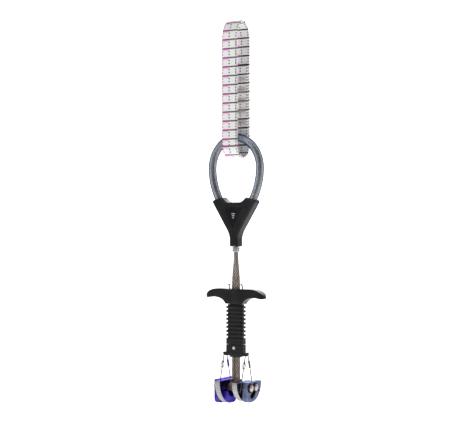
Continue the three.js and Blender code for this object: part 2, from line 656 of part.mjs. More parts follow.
function makeTriggerBase() {
  const flange = plateAlongZ(
    roundedRectangle(FLANGE_WIDTH, SLEEVE_DEPTH, 1.6), FLANGE_BOTTOM, BLOCK_BOTTOM);
  const block = plateAlongZ(
    roundedRectangle(SLEEVE_WIDTH, SLEEVE_DEPTH, 1.2), BLOCK_BOTTOM - 1, RIBS_BOTTOM - RUN);
  const collar = plateAlongZ(
    roundedRectangle(windowWidth + 1.5, straightWindow + 1.4, 1.2), FLANGE_BOTTOM - 1.2, FLANGE_BOTTOM + 1);
  const sockets = [];
  for (const x of [-WIRE_PLANE, WIRE_PLANE]) {
    for (const y of [-WIRE_SPREAD, WIRE_SPREAD]) {
      sockets.push(new THREE.CylinderGeometry(SOCKET_RADIUS, SOCKET_RADIUS, SOCKET_LENGTH, 12)
        .rotateX(Math.PI / 2)
        .translate(x, y, WIRE_TOP + 0.9 - SOCKET_LENGTH / 2));
    }
  }
  const whole = joined(flange, block, collar);
  addPiece('trigger_base', 'plastic',
    cut(whole, cableWindow(straightWindow, FLANGE_BOTTOM - 3, RIBS_BOTTOM + 1), ...sockets));
}

function makeRibbedSleeve() {
  const top = RIBS_BOTTOM + RIB_COUNT * RIB_PITCH;
  const core = plateAlongZ(
    roundedRectangle(SLEEVE_WIDTH - 2 * RIB_DEPTH, SLEEVE_DEPTH - RIB_DEPTH, 1), RIBS_BOTTOM, top);
  const ribs = [];
  for (let rib = 0; rib < RIB_COUNT; rib += 1) {
    const low = RIBS_BOTTOM + rib * RIB_PITCH;
    const height = RIB_PITCH * (rib === 0 ? FIRST_RIB_SHARE : RIB_SHARE);
    ribs.push(plateAlongZ(roundedRectangle(SLEEVE_WIDTH, SLEEVE_DEPTH, 1.2), low, low + height));
  }
  addPiece('trigger_sleeve', 'plastic',
    cut(joined(core, ...ribs), cableWindow(straightWindow, RIBS_BOTTOM - 1, top + 1)));
}

function barShape() {
  const shape = new THREE.Shape();
  const root = SLEEVE_WIDTH / 2;
  const top = BAR_TOP;
  const tip = BAR_HALF_SPAN;
  shape.moveTo(root, BAR_BOTTOM);
  shape.quadraticCurveTo(root + 2.2, top - 8, root + 8, top - 7.1);
  shape.quadraticCurveTo(tip - 8, top - 6.4, tip - 3, top - 7.7);
  shape.quadraticCurveTo(tip, top - 7.9, tip, top - 5.6);
  shape.quadraticCurveTo(tip - 4.5, top, tip - 13, top);
  shape.quadraticCurveTo(root, top, 0, top - 0.5);
  shape.quadraticCurveTo(-root, top, 13 - tip, top);
  shape.quadraticCurveTo(4.5 - tip, top, -tip, top - 5.6);
  shape.quadraticCurveTo(-tip, top - 7.9, 3 - tip, top - 7.7);
  shape.quadraticCurveTo(8 - tip, top - 6.4, -root - 8, top - 7.1);
  shape.quadraticCurveTo(-root - 2.2, top - 8, -root, BAR_BOTTOM);
  shape.closePath();
  return shape;
}

const HOOK_BASE = BAR_TOP - HOOK_SEAT;

function makeTriggerBar() {
  const windowDepth = 2 * (CABLE_RADIUS + CABLE_PITCH * Math.sin(-pairAngle(BAR_TOP + STROKE)) + FIT);
  const depth = windowDepth + 2 * BAR_WALL;
  const plan = roundedRectangle(2 * BAR_HALF_SPAN, depth, depth / 2 - 0.1);
  const bar = shared(plateAlongY(barShape(), depth, 0, 5), plateAlongZ(plan, BAR_BOTTOM - 1, BAR_TOP + 1));
  const window = cableWindow(windowDepth, BAR_BOTTOM - 1, BAR_TOP + 1);
  const hookHoles = [-HOOK_SPREAD, HOOK_SPREAD].map((x) => new THREE.CylinderGeometry(
    HOOK_WIRE + FIT, HOOK_WIRE + FIT, 4, 12)
    .rotateX(Math.PI / 2)
    .translate(x, 0, HOOK_BASE - FIT + 2));
  addPiece('trigger_bar', 'plastic', cut(bar, window, ...hookHoles));
}

makeTriggerBase();
makeRibbedSleeve();
makeTriggerBar();

for (const [sideName, side] of [['left', -1], ['right', 1]]) {
  const hook = new THREE.CatmullRomCurve3([
    new THREE.Vector3(side * HOOK_SPREAD, 0, HOOK_BASE),
    new THREE.Vector3(side * HOOK_SPREAD, 0, BAR_TOP + 0.4 * HOOK_RISE),
    new THREE.Vector3(side * HOOK_SPREAD, -0.2, BAR_TOP + 0.8 * HOOK_RISE),
    new THREE.Vector3(side * HOOK_SPREAD, -1.1, BAR_TOP + HOOK_RISE),
    new THREE.Vector3(side * HOOK_SPREAD, -2.2, BAR_TOP + 0.9 * HOOK_RISE),
  ]);
  addPiece(`wire_hook_${sideName}`, 'steel', tube(hook, HOOK_WIRE, 8, 12));
}

// ---- trigger wires ----------------------------------------------------------------------------------

// A wire runs from its ball in the flange down to its lobe, where its end turns along the axles and
// sits in the lobe's hook slot. into is the direction along X that the end points in.
function wireGeometry(x, face, into, withEye) {
  const top = new THREE.Vector3(x, face * WIRE_SPREAD, WIRE_TOP);
  const end = new THREE.Vector3(x, face * HOOK_OUT, HOOK_UP);
  const down = end.clone().sub(top).normalize();
  const corner = end.clone().addScaledVector(down, -WIRE_BEND);
  const along = new THREE.Vector3(into, 0, 0);
  const past = end.clone().addScaledVector(along, WIRE_BEND);
  const bend = new THREE.QuadraticBezierCurve3(corner, end, past);
  const tip = end.clone().addScaledVector(along, LOBE_THICKNESS);
  const points = [top, corner, ...bend.getPoints(4).slice(1), tip];
  const path = new THREE.CatmullRomCurve3(points, false, 'centripetal', 0.5);
  const ball = new THREE.SphereGeometry(BALL_RADIUS, 8, 6).translate(...top);
  const pieces = [tube(path, WIRE_RADIUS, 6, 24), ball];
  if (withEye) {
    const reach = (WIRE_TOP - CRIMP_HEIGHT) / -down.z;
    const middle = top.clone().addScaledVector(down, reach);
    const tilt = Math.atan2(down.y, -down.z);
    pieces.push(new THREE.TorusGeometry(EYE_RADIUS, EYE_WIRE, 6, 14)
      .scale(1, EYE_STRETCH, 1)
      .rotateX(Math.PI / 2 + tilt)
      .translate(...middle));
  }
  return joined(...pieces);
}

function crimpGeometry(x, face) {
  const top = new THREE.Vector3(x, face * WIRE_SPREAD, WIRE_TOP);
  const end = new THREE.Vector3(x, face * HOOK_OUT, HOOK_UP);
  const down = end.clone().sub(top).normalize();
  const middle = top.clone().addScaledVector(down, (WIRE_TOP - CRIMP_HEIGHT) / -down.z);
  const half = CRIMP_LENGTH / 2;
  const bore = WIRE_RADIUS + 0.2;
  const profile = [[bore, -half], [CRIMP_RADIUS * 0.8, -half], [CRIMP_RADIUS, -half + 0.8],
    [CRIMP_RADIUS, half - 0.8], [CRIMP_RADIUS * 0.8, half], [bore, half], [bore, -half]];
  const turn = new THREE.Quaternion().setFromUnitVectors(new THREE.Vector3(0, 1, 0), down);
  return new THREE.LatheGeometry(profile.map(([r, y]) => new THREE.Vector2(r, y)), 12)
    .applyQuaternion(turn)
    .translate(...middle);
}

const wires = [
  { name: 'purple_outer', x: -WIRE_PLANE, face: 1, into: -1, eye: false },
  { name: 'purple_inner', x: -WIRE_PLANE, face: -1, into: 1, eye: true },
  { name: 'grey_inner', x: WIRE_PLANE, face: -1, into: -1, eye: true },
  { name: 'grey_outer', x: WIRE_PLANE, face: 1, into: 1, eye: false },
];

for (const { name, x, face, into, eye } of wires) {
  addPiece(`wire_${name}`, 'steel', wireGeometry(x, face, into, eye));
  if (!eye) addPiece(`crimp_${name}`, name.startsWith('purple') ? 'purple' : 'grey', crimpGeometry(x, face));
}

// ---- sling --------------------------------------------------------------------------------------------

// The strap's closed loop, seen along X, with its faces inset from the outer face.
function slingOutline(inset) {
  const half = SLING_HALF_DEPTH - inset;
  const bottom = SLING_BOTTOM + inset;
  const top = SLING_TOP - inset;
  const lower = SLING_BOTTOM + SLING_HALF_DEPTH;
  const upper = SLING_TOP - TOP_STRETCH * SLING_HALF_DEPTH;
  const points = [];
  const count = 12;
  for (let i = 0; i <= count; i += 1) {
    const angle = Math.PI + (Math.PI * i) / count;
    points.push([half * Math.cos(angle), lower + (lower - bottom) * Math.sin(angle)]);
  }
  for (let i = 0; i <= count; i += 1) {
    const angle = (Math.PI * i) / count;
    points.push([half * Math.cos(angle), upper + (top - upper) * Math.sin(angle)]);
  }
  return points;
}

addPiece('sling_webbing', 'webbing', piercedPlateAlongX(
  slingOutline(0), [slingOutline(STRAP_THICKNESS)], -STRAP_WIDTH / 2, STRAP_WIDTH / 2));

const overlapFace = SLING_HALF_DEPTH - STRAP_THICKNESS - OVERLAP_GAP;
addPiece('sling_overlap', 'webbing', new THREE.BoxGeometry(
  STRAP_WIDTH - 2 * OVERLAP_INSET, STRAP_THICKNESS, OVERLAP_TOP - OVERLAP_BOTTOM)
  .translate(0, overlapFace - STRAP_THICKNESS / 2, (OVERLAP_TOP + OVERLAP_BOTTOM) / 2));

// The origin is the inside of the sling's top, where it is clipped.
part.position.z = -(SLING_TOP - STRAP_THICKNESS);

export default part;
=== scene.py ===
# %% [markdown]
# # A spring-loaded camming device
# A climber pulls the trigger bar up the stem, the four lobes fold in, and the device slides into a crack in
# the rock. When the bar is let go, springs open the lobes until they grip. The lobes turn on two axles, so
# they open wide for their size. A wire rope makes the flexible stem and the thumb loop, and a sewn sling
# clips in at the top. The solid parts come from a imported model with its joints. This lesson gives them
# their look.

# %% The frame
import json
import math

import bmesh
import bpy
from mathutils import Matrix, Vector
from mathutils.kdtree import KDTree


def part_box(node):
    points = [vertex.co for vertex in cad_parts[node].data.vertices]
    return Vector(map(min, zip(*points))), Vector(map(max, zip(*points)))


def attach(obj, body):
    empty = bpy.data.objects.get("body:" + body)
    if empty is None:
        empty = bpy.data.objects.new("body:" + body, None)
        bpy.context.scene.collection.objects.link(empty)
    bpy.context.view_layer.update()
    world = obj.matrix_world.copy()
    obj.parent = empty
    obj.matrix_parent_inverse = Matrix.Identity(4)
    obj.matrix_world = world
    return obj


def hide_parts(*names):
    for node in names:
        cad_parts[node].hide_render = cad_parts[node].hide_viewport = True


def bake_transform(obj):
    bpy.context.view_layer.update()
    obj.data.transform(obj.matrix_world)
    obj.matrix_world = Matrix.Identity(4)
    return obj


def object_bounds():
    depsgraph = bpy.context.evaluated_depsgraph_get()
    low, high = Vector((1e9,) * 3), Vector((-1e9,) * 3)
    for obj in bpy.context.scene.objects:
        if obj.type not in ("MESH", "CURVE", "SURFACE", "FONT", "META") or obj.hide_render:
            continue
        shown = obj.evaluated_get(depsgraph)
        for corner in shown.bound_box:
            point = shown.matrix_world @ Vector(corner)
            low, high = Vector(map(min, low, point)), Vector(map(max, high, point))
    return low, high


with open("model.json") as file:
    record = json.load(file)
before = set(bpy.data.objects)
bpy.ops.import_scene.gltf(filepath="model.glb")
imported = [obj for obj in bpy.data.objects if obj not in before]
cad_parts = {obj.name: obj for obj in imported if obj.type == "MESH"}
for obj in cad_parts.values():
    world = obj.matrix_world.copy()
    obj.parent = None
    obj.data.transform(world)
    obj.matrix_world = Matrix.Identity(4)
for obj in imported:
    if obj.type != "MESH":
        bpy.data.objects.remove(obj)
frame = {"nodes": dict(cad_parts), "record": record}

CAD_LOW, CAD_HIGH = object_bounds()

# %% [markdown]
# Everything below is measured in millimetres from the line of the two axles, because that is where a maker
# would start. Blender works in metres, so one small function turns a maker's point into a Blender point.

# %% Measures
MM = 0.001
axle_low, axle_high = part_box("axle_front")
AXLE_LINE = (axle_low.z + axle_high.z) / 2
AXLE_OFFSET = 3.5            # each axle's distance from the middle plane
CABLE_RADIUS = 1.85
CABLE_PITCH = 1.95           # each leg's distance from the stem's centre line


def at(x, y, z):
    """A point in metres, from millimetres where z is the height above the axles."""
    return Vector((x * MM, y * MM, AXLE_LINE + z * MM))


print(f"the axles lie {AXLE_LINE * 1000:.1f} mm from the clip-in point")

# %% [markdown]
# ## The studio
# The device hangs from its clip-in point, so nothing touches the floor. A sheet of pale paper that curves
# up into a wall gives an even background without a corner. A soft light on each side, one above and one
# behind draw long, soft highlights on metal and plastic, and a pale world fills the shadows. The paper
# glows a little, so that it stays white while the lights stay low enough for bare metal.

# %% Camera
CAMERA_TURN = math.radians(33)
CAMERA_DISTANCE = 1.0
LENS = 95
AIM_DROP = 0.154             # from the top of the sling to the middle of the view
aim = Vector((0, 0, CAD_HIGH.z - AIM_DROP))
camera = bpy.data.objects.new("camera", bpy.data.cameras.new("camera"))
bpy.context.scene.collection.objects.link(camera)
camera.location = aim + CAMERA_DISTANCE * Vector((math.sin(CAMERA_TURN), -math.cos(CAMERA_TURN), 0))
camera.rotation_euler = (math.pi / 2, 0, CAMERA_TURN)
camera.data.lens, camera.data.sensor_width = LENS, 36
bpy.context.scene.camera = camera
bpy.context.scene.view_settings.view_transform = "Standard"
print("camera", [round(c, 3) for c in camera.location])


# %% Paper sweep
def new_object(name, data):
    made = bpy.data.objects.new(name, data)
    bpy.context.scene.collection.objects.link(made)
    return made


PAPER_DEPTH = 1.3            # from the device to the wall
PAPER_DROP = 0.25            # from the device's lowest point to the floor
BEND_RADIUS = 0.5
PAPER_FRONT, PAPER_TOP, PAPER_HALF_WIDTH = -2.4, 2.2, 2.6
floor_height = CAD_LOW.z - PAPER_DROP
profile = [(PAPER_FRONT, floor_height)]
for step in range(13):
    angle = math.radians(90 * step / 12)
    profile.append((PAPER_DEPTH - BEND_RADIUS + BEND_RADIUS * math.sin(angle),
                    floor_height + BEND_RADIUS * (1 - math.cos(angle))))
profile.append((PAPER_DEPTH, PAPER_TOP))
paper = bpy.data.meshes.new("paper_sweep")
edge = len(profile)
paper.from_pydata([(x, y, z) for x in (-PAPER_HALF_WIDTH, PAPER_HALF_WIDTH) for y, z in profile], [],
                  [(i, i + edge, i + edge + 1, i + 1) for i in range(edge - 1)])
for face in paper.polygons:
    face.use_smooth = True
sweep = new_object("paper_sweep", paper)
sweep.rotation_euler.z = CAMERA_TURN
white_paper = bpy.data.materials.new("white_paper")
white_paper.use_nodes = True
paper_shader = white_paper.node_tree.nodes["Principled BSDF"]
for socket, value in (("Base Color", (0.9, 0.9, 0.9, 1)), ("Roughness", 0.9),
                      ("Emission Color", (1, 1, 1, 1)), ("Emission Strength", 0.95)):
    paper_shader.inputs[socket].default_value = value
paper.materials.append(white_paper)
print("paper", len(paper.polygons), "faces")


# %% Lights
def soft_light(name, turn, rise, distance, size, power):
    lamp = bpy.data.lights.new(name, "AREA")
    lamp.shape, lamp.size, lamp.size_y = "RECTANGLE", size[0], size[1]
    lamp.energy = power
    holder = new_object(name, lamp)
    turn, rise = math.radians(turn) + CAMERA_TURN, math.radians(rise)
    direction = Vector((math.sin(turn) * math.cos(rise), -math.cos(turn) * math.cos(rise), math.sin(rise)))
    holder.location = aim + distance * direction
    holder.rotation_euler = direction.to_track_quat("Z", "Y").to_euler()


soft_light("key_light", -50, 30, 1.0, (0.22, 0.8), 2.8)
soft_light("side_light", 62, 10, 1.0, (0.14, 0.8), 0.9)
soft_light("top_light", 15, 72, 1.1, (0.5, 0.3), 2.6)
soft_light("rear_light", 168, 25, 0.9, (0.6, 0.8), 3)

world = bpy.data.worlds.new("pale_room")
bpy.context.scene.world = world
world.use_nodes = True
world.node_tree.nodes["Background"].inputs["Color"].default_value = (0.94, 0.95, 0.97, 1)
world.node_tree.nodes["Background"].inputs["Strength"].default_value = 0.17

# %% [markdown]
# ## Finishes
# Each finish is a Principled shader whose colour, roughness and bump come from a few texture nodes, read in
# Object coordinates so that they stay with the part. A real surface is never even: an anodised face has
# faint streaks from milling, a moulded face has a fine grain, and a ground edge is rougher than the flat
# beside it.

# %% Node helpers
class Finish:
    """A material under construction: add() makes a node and links its inputs, given by name or number."""

    def __init__(self, name, **fixed):
        self.material = bpy.data.materials.new(name)
        self.material.use_nodes = True
        self.tree = self.material.node_tree
        self.shader = self.tree.nodes["Principled BSDF"]
        for socket, value in fixed.items():
            self.shader.inputs[socket.replace("_", " ")].default_value = value
        self.material.diffuse_color = fixed.get("Base_Color", (0.5, 0.5, 0.5, 1))

    def add(self, kind, inputs=(), **settings):
        node = self.tree.nodes.new("ShaderNode" + kind)
        for key, value in settings.items():
            setattr(node, key, value)
        for key, value in dict(inputs).items():
            if isinstance(value, bpy.types.NodeSocket):
                self.tree.links.new(value, node.inputs[key])
            else:
                node.inputs[key].default_value = value
        return node

    def place(self, scale=(1, 1, 1), turn=(0, 0, 0)):
        """Object coordinates in millimetres times scale."""
        where = self.add("TexCoord").outputs["Object"]
        scale = [s / MM for s in scale]
        return self.add("Mapping", {"Vector": where, "Rotation": turn, "Scale": scale}).outputs[0]

    def maths(self, operation, *values):
        return self.add("Math", dict(enumerate(values)), operation=operation).outputs[0]

    def noise(self, where, scale=1.0, detail=2.0, rough=0.5):
        settings = {"Vector": where, "Scale": scale, "Detail": detail, "Roughness": rough}
        return self.add("TexNoise", settings).outputs[0]

    def steps(self, factor, *stops):
        """A colour ramp from (position, colour) stops."""
        ramp = self.add("ValToRGB", {0: factor})
        points = ramp.color_ramp.elements
        while len(points) < len(stops):
            points.new(0.5)
        for point, (position, colour) in zip(points, stops):
            point.position, point.color = position, colour
        return ramp.outputs[0]

    def between(self, factor, low, high):
        """A number that runs from low to high as factor goes from 0 to 1."""
        return self.add("MapRange", {"Value": factor, "To Min": low, "To Max": high}).outputs[0]

    def blend(self, factor, first, second):
        node = self.add("Mix", data_type="RGBA")
        for index, value in ((0, factor), (6, first), (7, second)):
            if isinstance(value, bpy.types.NodeSocket):
                self.tree.links.new(value, node.inputs[index])
            else:
                node.inputs[index].default_value = value
        return node.outputs[2]

    def finish(self, colour=None, roughness=None, height=None, depth=0.05, metallic=None):
        for socket, value in (("Base Color", colour), ("Roughness", roughness), ("Metallic", metallic)):
            if value is not None:
                self.tree.links.new(value, self.shader.inputs[socket])
        if height is not None:
            bump = self.add("Bump", {"Height": height, "Strength": 1.0, "Distance": depth * MM})
            self.tree.links.new(bump.outputs[0], self.shader.inputs["Normal"])
        return self.material


def shade(red, green, blue):
    return (red, green, blue, 1)


print("node helpers ready")

# %% [markdown]
# The lobes are milled from aluminium bar and anodised in a colour for each size. The cam faces are cut
# last, so they are bare metal with fine grooves across. An attribute named bare marks the cam face on each
# lobe, and one named rim marks the rounded edges, painted lighter for wear and as a painted highlight.
# Round the axles the lobe is painted near black, as painted shade.

# %% Anodised lobes
def anodised(name, deep, bright, rim_colour):
    metal = Finish(name, Metallic=1.0, Specular_Tint=rim_colour)
    grain = metal.noise(metal.place((0.5, 0.5, 0.5)), 1.0, 3)
    brushed = metal.noise(metal.place((0.6, 3, 3)), 4.0, 2)
    cloud = metal.noise(metal.place((0.12, 0.12, 0.12)), 1.0, 2)
    colour = metal.steps(cloud, (0.35, deep), (0.7, bright))
    # rounded edges painted lighter: partly wear, partly a painted highlight
    rim = metal.add("Attribute", attribute_name="rim").outputs["Fac"]
    rim_wear_and_highlight = metal.maths("MULTIPLY", rim, metal.between(grain, 0.45, 1.0))
    colour = metal.blend(rim_wear_and_highlight, colour, rim_colour)
    bare = metal.add("Attribute", attribute_name="bare").outputs["Fac"]
    groove = metal.noise(metal.place((0.5, 6, 6)), 1.0, 2)
    steel = metal.steps(groove, (0.35, shade(0.24, 0.225, 0.21)), (0.65, shade(0.52, 0.49, 0.46)))
    colour = metal.blend(bare, colour, steel)
    rough = metal.maths("ADD", metal.between(brushed, 0.2, 0.32), metal.maths("MULTIPLY", bare, 0.14))
    # painted shade: the lobe turns near black round its axles
    axle_shade = metal.add("Attribute", attribute_name="axle_shade").outputs["Fac"]
    colour = metal.blend(axle_shade, colour, shade(0.02, 0.018, 0.02))
    height = metal.maths("ADD", metal.maths("MULTIPLY", grain, 0.5), metal.maths("MULTIPLY", groove, bare))
    return metal.finish(colour, rough, height, 0.03)


purple_lobe = anodised("purple_anodised",
                       shade(0.034, 0.026, 0.18), shade(0.078, 0.06, 0.34), shade(0.30, 0.27, 0.62))
grey_lobe = anodised("grey_anodised",
                     shade(0.095, 0.11, 0.185), shade(0.16, 0.185, 0.29), shade(0.42, 0.46, 0.58))
print("lobe finishes", purple_lobe.name, grey_lobe.name)

# %% [markdown]
# Turned steel, drawn wire and swaged aluminium are all bare metal. What tells them apart is their tint and
# how the tool marks run: rings on an axle's head, lines along a wire, small dents on a swaged ferrule.

# %% Bare metals
def bare_metal(name, dark, light, rough=(0.22, 0.4), marks=(1, 1, 1), mark_size=2.0, depth=0.02):
    metal = Finish(name, Metallic=1.0)
    cloud = metal.noise(metal.place((0.4, 0.4, 0.4)), 1.0, 3)
    lines = metal.noise(metal.place(marks), mark_size, 2)
    colour = metal.steps(cloud, (0.3, dark), (0.72, light))
    return metal.finish(colour, metal.between(lines, *rough), lines, depth)


axle_steel = bare_metal("axle_steel", shade(0.38, 0.31, 0.285), shade(0.62, 0.54, 0.51),
                        (0.2, 0.34), (0.3, 3, 3), 3)
terminal_steel = bare_metal("terminal_steel", shade(0.13, 0.085, 0.06), shade(0.42, 0.30, 0.22),
                            (0.25, 0.4))
# the washers are painted near black: painted shade round the axle heads
washer_painted_shade = bare_metal("washer_painted_shade", shade(0.05, 0.045, 0.045), shade(0.14, 0.12, 0.115),
                          (0.3, 0.45), (0.2, 4, 4), 2)
ferrule_metal = bare_metal("ferrule_metal", shade(0.40, 0.41, 0.42), shade(0.74, 0.75, 0.76),
                           (0.18, 0.36), (2, 2, 0.4),
                           2, 0.06)
spring_bronze = bare_metal("spring_bronze", shade(0.50, 0.26, 0.13), shade(0.80, 0.48, 0.27),
                           (0.2, 0.35), (3, 3, 3), 2)
hook_steel = bare_metal("hook_steel", shade(0.02, 0.02, 0.023), shade(0.06, 0.06, 0.065),
                        (0.3, 0.45), (3, 3, 0.6), 3)
print("bare metals", 6)

# %% [markdown]
# The trigger and the saddle are moulded in black nylon. Spark erosion gives the mould a very fine grain,
# and fingers polish the places that stand out, so roughness varies slowly over a fine, shallow bump.

# %% Moulded plastic
def moulding(name, dark, light, rough, grain_depth):
    plastic = Finish(name, Specular_IOR_Level=0.22)
    cloud = plastic.noise(plastic.place((0.15, 0.15, 0.15)), 1.0, 3)
    grain = plastic.noise(plastic.place((1, 1, 1)), 3.2, 2)
    colour = plastic.steps(cloud, (0.3, dark), (0.75, light))
    return plastic.finish(colour, plastic.between(cloud, *rough), grain, grain_depth)


black_moulding = moulding("black_moulding", shade(0.006, 0.006, 0.007), shade(0.013, 0.013, 0.015),
                          (0.3, 0.42), 0.02)
label_plate = moulding("label_plate", shade(0.006, 0.006, 0.008), shade(0.014, 0.014, 0.017),
                       (0.2, 0.3), 0.008)
mark_print = moulding("mark_print", shade(0.42, 0.42, 0.40), shade(0.60, 0.60, 0.57),
                      (0.4, 0.5), 0.01)
print("moulded finishes", 3)

# %% [markdown]
# ## Milled and moulded parts
# The measured parts have the right shape but knife-sharp edges and flat facets. No real edge is perfectly
# sharp: a mould rounds it, and a milled lobe is tumbled. A bevel on every edge would fail on fine teeth, so
# each part is wrapped again in an even skin of small faces, and that skin is relaxed a little. The size of
# the faces decides how small a detail survives, and the number of relaxing rounds decides how round the
# edges get.

# %% Softening a part
BODY_OF = {node: body for body, nodes in frame["record"]["behaviour"]["bodies"].items() for node in nodes}


def evaluated_mesh(piece):
    """A plain mesh of the piece with its modifiers applied."""
    graph = bpy.context.evaluated_depsgraph_get()
    return bpy.data.meshes.new_from_object(piece.evaluated_get(graph))


def softened(node, name, face_size, rounds):
    """A copy of a part with rounded edges, standing in the same place."""
    joined = bmesh.new()
    joined.from_mesh(frame["nodes"][node].data)
    bmesh.ops.remove_doubles(joined, verts=joined.verts, dist=1e-6)
    mesh = bpy.data.meshes.new(name)
    joined.to_mesh(mesh)
    joined.free()
    piece = new_object(name, mesh)
    skin = piece.modifiers.new("skin", "REMESH")
    skin.mode, skin.voxel_size, skin.use_smooth_shade = "VOXEL", face_size * MM, True
    relax = piece.modifiers.new("relax", "SMOOTH")
    relax.factor, relax.iterations = 0.5, rounds
    piece.data = evaluated_mesh(piece)
    piece.modifiers.clear()
    return piece


def take_over(piece, material, slot, *nodes):
    """The piece stands for these parts: it hides them, moves with their body and takes the given finish."""
    piece.data.materials.clear()
    piece.data.materials.append(material)
    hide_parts(*nodes)
    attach(piece, BODY_OF[nodes[0]])
    print(f"{piece.name}: {len(piece.data.polygons)} faces")


# %% Saddle, trigger and terminal
for node, name, face_size, rounds in (        # face sizes in mm
        ("saddle", "thumb_loop_saddle", 0.25, 4),
        ("trigger_bar", "finger_bar", 0.34, 6),
        ("trigger_sleeve", "ribbed_grip", 0.26, 4),
        ("trigger_base", "wire_carrier", 0.26, 4)):
    take_over(softened(node, name, face_size, rounds), black_moulding, "black_moulding", node)
take_over(softened("terminal", "axle_block", 0.2, 3), terminal_steel, "axle_steel", "terminal")
take_over(softened("ferrule", "swaged_ferrule", 0.2, 4), ferrule_metal, "ferrule_metal", "ferrule")

# %% [markdown]
# ## Lobes
# A lobe's cam face follows a spiral that meets the rock at the same angle however far the lobe has opened,
# and that is what makes the device hold in a crack of any width. The tooth grooves are part of the measured
# lobe. Here each lobe is softened with small faces, and three attributes are stored on its vertices: how
# near it is to the spiral, for the bare metal, how far its surface leans between a side and an edge, for
# the rim's wear and painted highlight, and how near it is to an axle, for the painted shade round the axles.

# %% Cam face and rims
SPIRAL_START, SPIRAL_END = math.radians(-75), math.radians(15.5)
SPIRAL_GROWTH = math.tan(math.radians(14.5))
TIP_RADIUS = {"purple": 21.0, "grey": 17.6}
TOOTH_DEPTH = 0.45
AXLE_SHADE_RADIUS = 4.1             # painted shade darkens each lobe round its axles


def mark_lobe(piece, tip_radius, opens):
    """Stores bare, rim and the painted shade round the axles on a lobe that opens towards +Y (1) or -Y (-1)
    from its own axle.
    """
    bare, rim, axle_shade = [], [], []
    for vertex in piece.data.vertices:
        out = opens * (vertex.co.y / MM + opens * AXLE_OFFSET)
        up = (vertex.co.z - AXLE_LINE) / MM
        angle = math.atan2(up, out)
        spiral = tip_radius * math.exp((min(angle, SPIRAL_END) - SPIRAL_END) * SPIRAL_GROWTH)
        inside = spiral - math.hypot(out, up)
        on_spiral = SPIRAL_START - 0.04 < angle < SPIRAL_END + 0.03
        faces_rock = on_spiral and abs(vertex.normal.x) < 0.6
        bare.append(max(0.0, min(1.0, 1.6 - inside / TOOTH_DEPTH)) if faces_rock else 0.0)
        lean = abs(vertex.normal.x)
        rim.append(max(0.0, 1 - abs(lean - 0.62) / 0.34) * (1 - bare[-1]))
        # painted shade round the axles, darkest next to them
        near = min(math.hypot(vertex.co.y / MM - y, up) for y in (-AXLE_OFFSET, AXLE_OFFSET))
        axle_shade.append(max(0.0, min(1.0, (AXLE_SHADE_RADIUS - near) / 0.35)))
    for name, values in (("bare", bare), ("rim", rim), ("axle_shade", axle_shade)):
        attribute = piece.data.attributes.new(name, "FLOAT", "POINT")
        attribute.data.foreach_set("value", values)


# %% Four lobes
LOBE_FACE, LOBE_ROUNDS = 0.19, 3
for colour, place, opens in (("purple", "outer", 1), ("purple", "inner", -1),
                             ("grey", "inner", -1), ("grey", "outer", 1)):
    node = f"lobe_{colour}_{place}"
    cam = softened(node, f"{colour}_{place}_cam", LOBE_FACE, LOBE_ROUNDS)
    mark_lobe(cam, TIP_RADIUS[colour], opens)
    take_over(cam, purple_lobe if colour == "purple" else grey_lobe, f"{colour}_anodised", node)

# %% [markdown]
# ## Axles
# An axle is a turned pin. Its ends are peened over a washer into low domes, which leaves a flat ring where
# the punch stood and fine rings round it. A turned shape is drawn as a half profile and spun, here in 64
# steps.

# %% Spinning a profile
def spun(name, profile, centre, axis, steps=64):
    """A closed body of revolution from (radius, along) points, where the first and last radius are 0."""
    mesh = bmesh.new()
    along = Vector(axis).normalized()
    side = along.orthogonal().normalized()
    other = along.cross(side)
    rings = []
    for radius, reach in profile:
        middle = centre + along * reach * MM
        if radius == 0:
            rings.append([mesh.verts.new(middle)])
        else:
            rings.append([mesh.verts.new(middle + radius * MM * (math.cos(a) * side + math.sin(a) * other))
                          for a in (2 * math.pi * i / steps for i in range(steps))])
    for low, high in zip(rings, rings[1:]):
        for i in range(steps):
            j = (i + 1) % steps
            corners = [low[i % len(low)], low[j % len(low)], high[j % len(high)], high[i % len(high)]]
            mesh.faces.new(list(dict.fromkeys(corners)))
    bmesh.ops.recalc_face_normals(mesh, faces=mesh.faces)
    data = bpy.data.meshes.new(name)
    mesh.to_mesh(data)
    mesh.free()
    for face in data.polygons:
        face.use_smooth = True
    return new_object(name, data)


EDGE_RISE, PUNCH_SHARE, PUNCH_DEPTH = 0.35, 0.45, 0.12


def dome(neck, shaft, rim, height):
    """Half of an axle's profile, from the shaft out to the pole of its head, with the punch's mark."""
    points = [(shaft, neck), (rim - 0.12, neck), (rim, neck + 0.1), (rim, neck + EDGE_RISE)]
    for step in range(1, 9):
        angle = math.radians(90 * step / 8)
        points.append((rim * math.cos(angle) if step < 8 else 0,
                       neck + EDGE_RISE + (height - EDGE_RISE) * math.sin(angle)))
    return [(r, a - PUNCH_DEPTH if r < rim * PUNCH_SHARE else a) for r, a in points]


# %% Two axles
AXLE_RADIUS = 1.8
HEAD_RIM, HEAD_HEIGHT = 2.55, 1.0
AXLE_NECK = 16.8            # from the middle of the axle to the underside of a head
half = dome(AXLE_NECK, AXLE_RADIUS, HEAD_RIM, HEAD_HEIGHT)
axle_profile = [(r, -a) for r, a in reversed(half)] + half
for end, y in (("front", -AXLE_OFFSET), ("rear", AXLE_OFFSET)):
    pin = spun(f"{end}_axle_pin", axle_profile, at(0, y, 0), (1, 0, 0))
    take_over(pin, axle_steel, "axle_steel", f"axle_{end}")

# %% Four washers
WASHER_BORE, WASHER_RIM_RADIUS = 2.05, 3.0


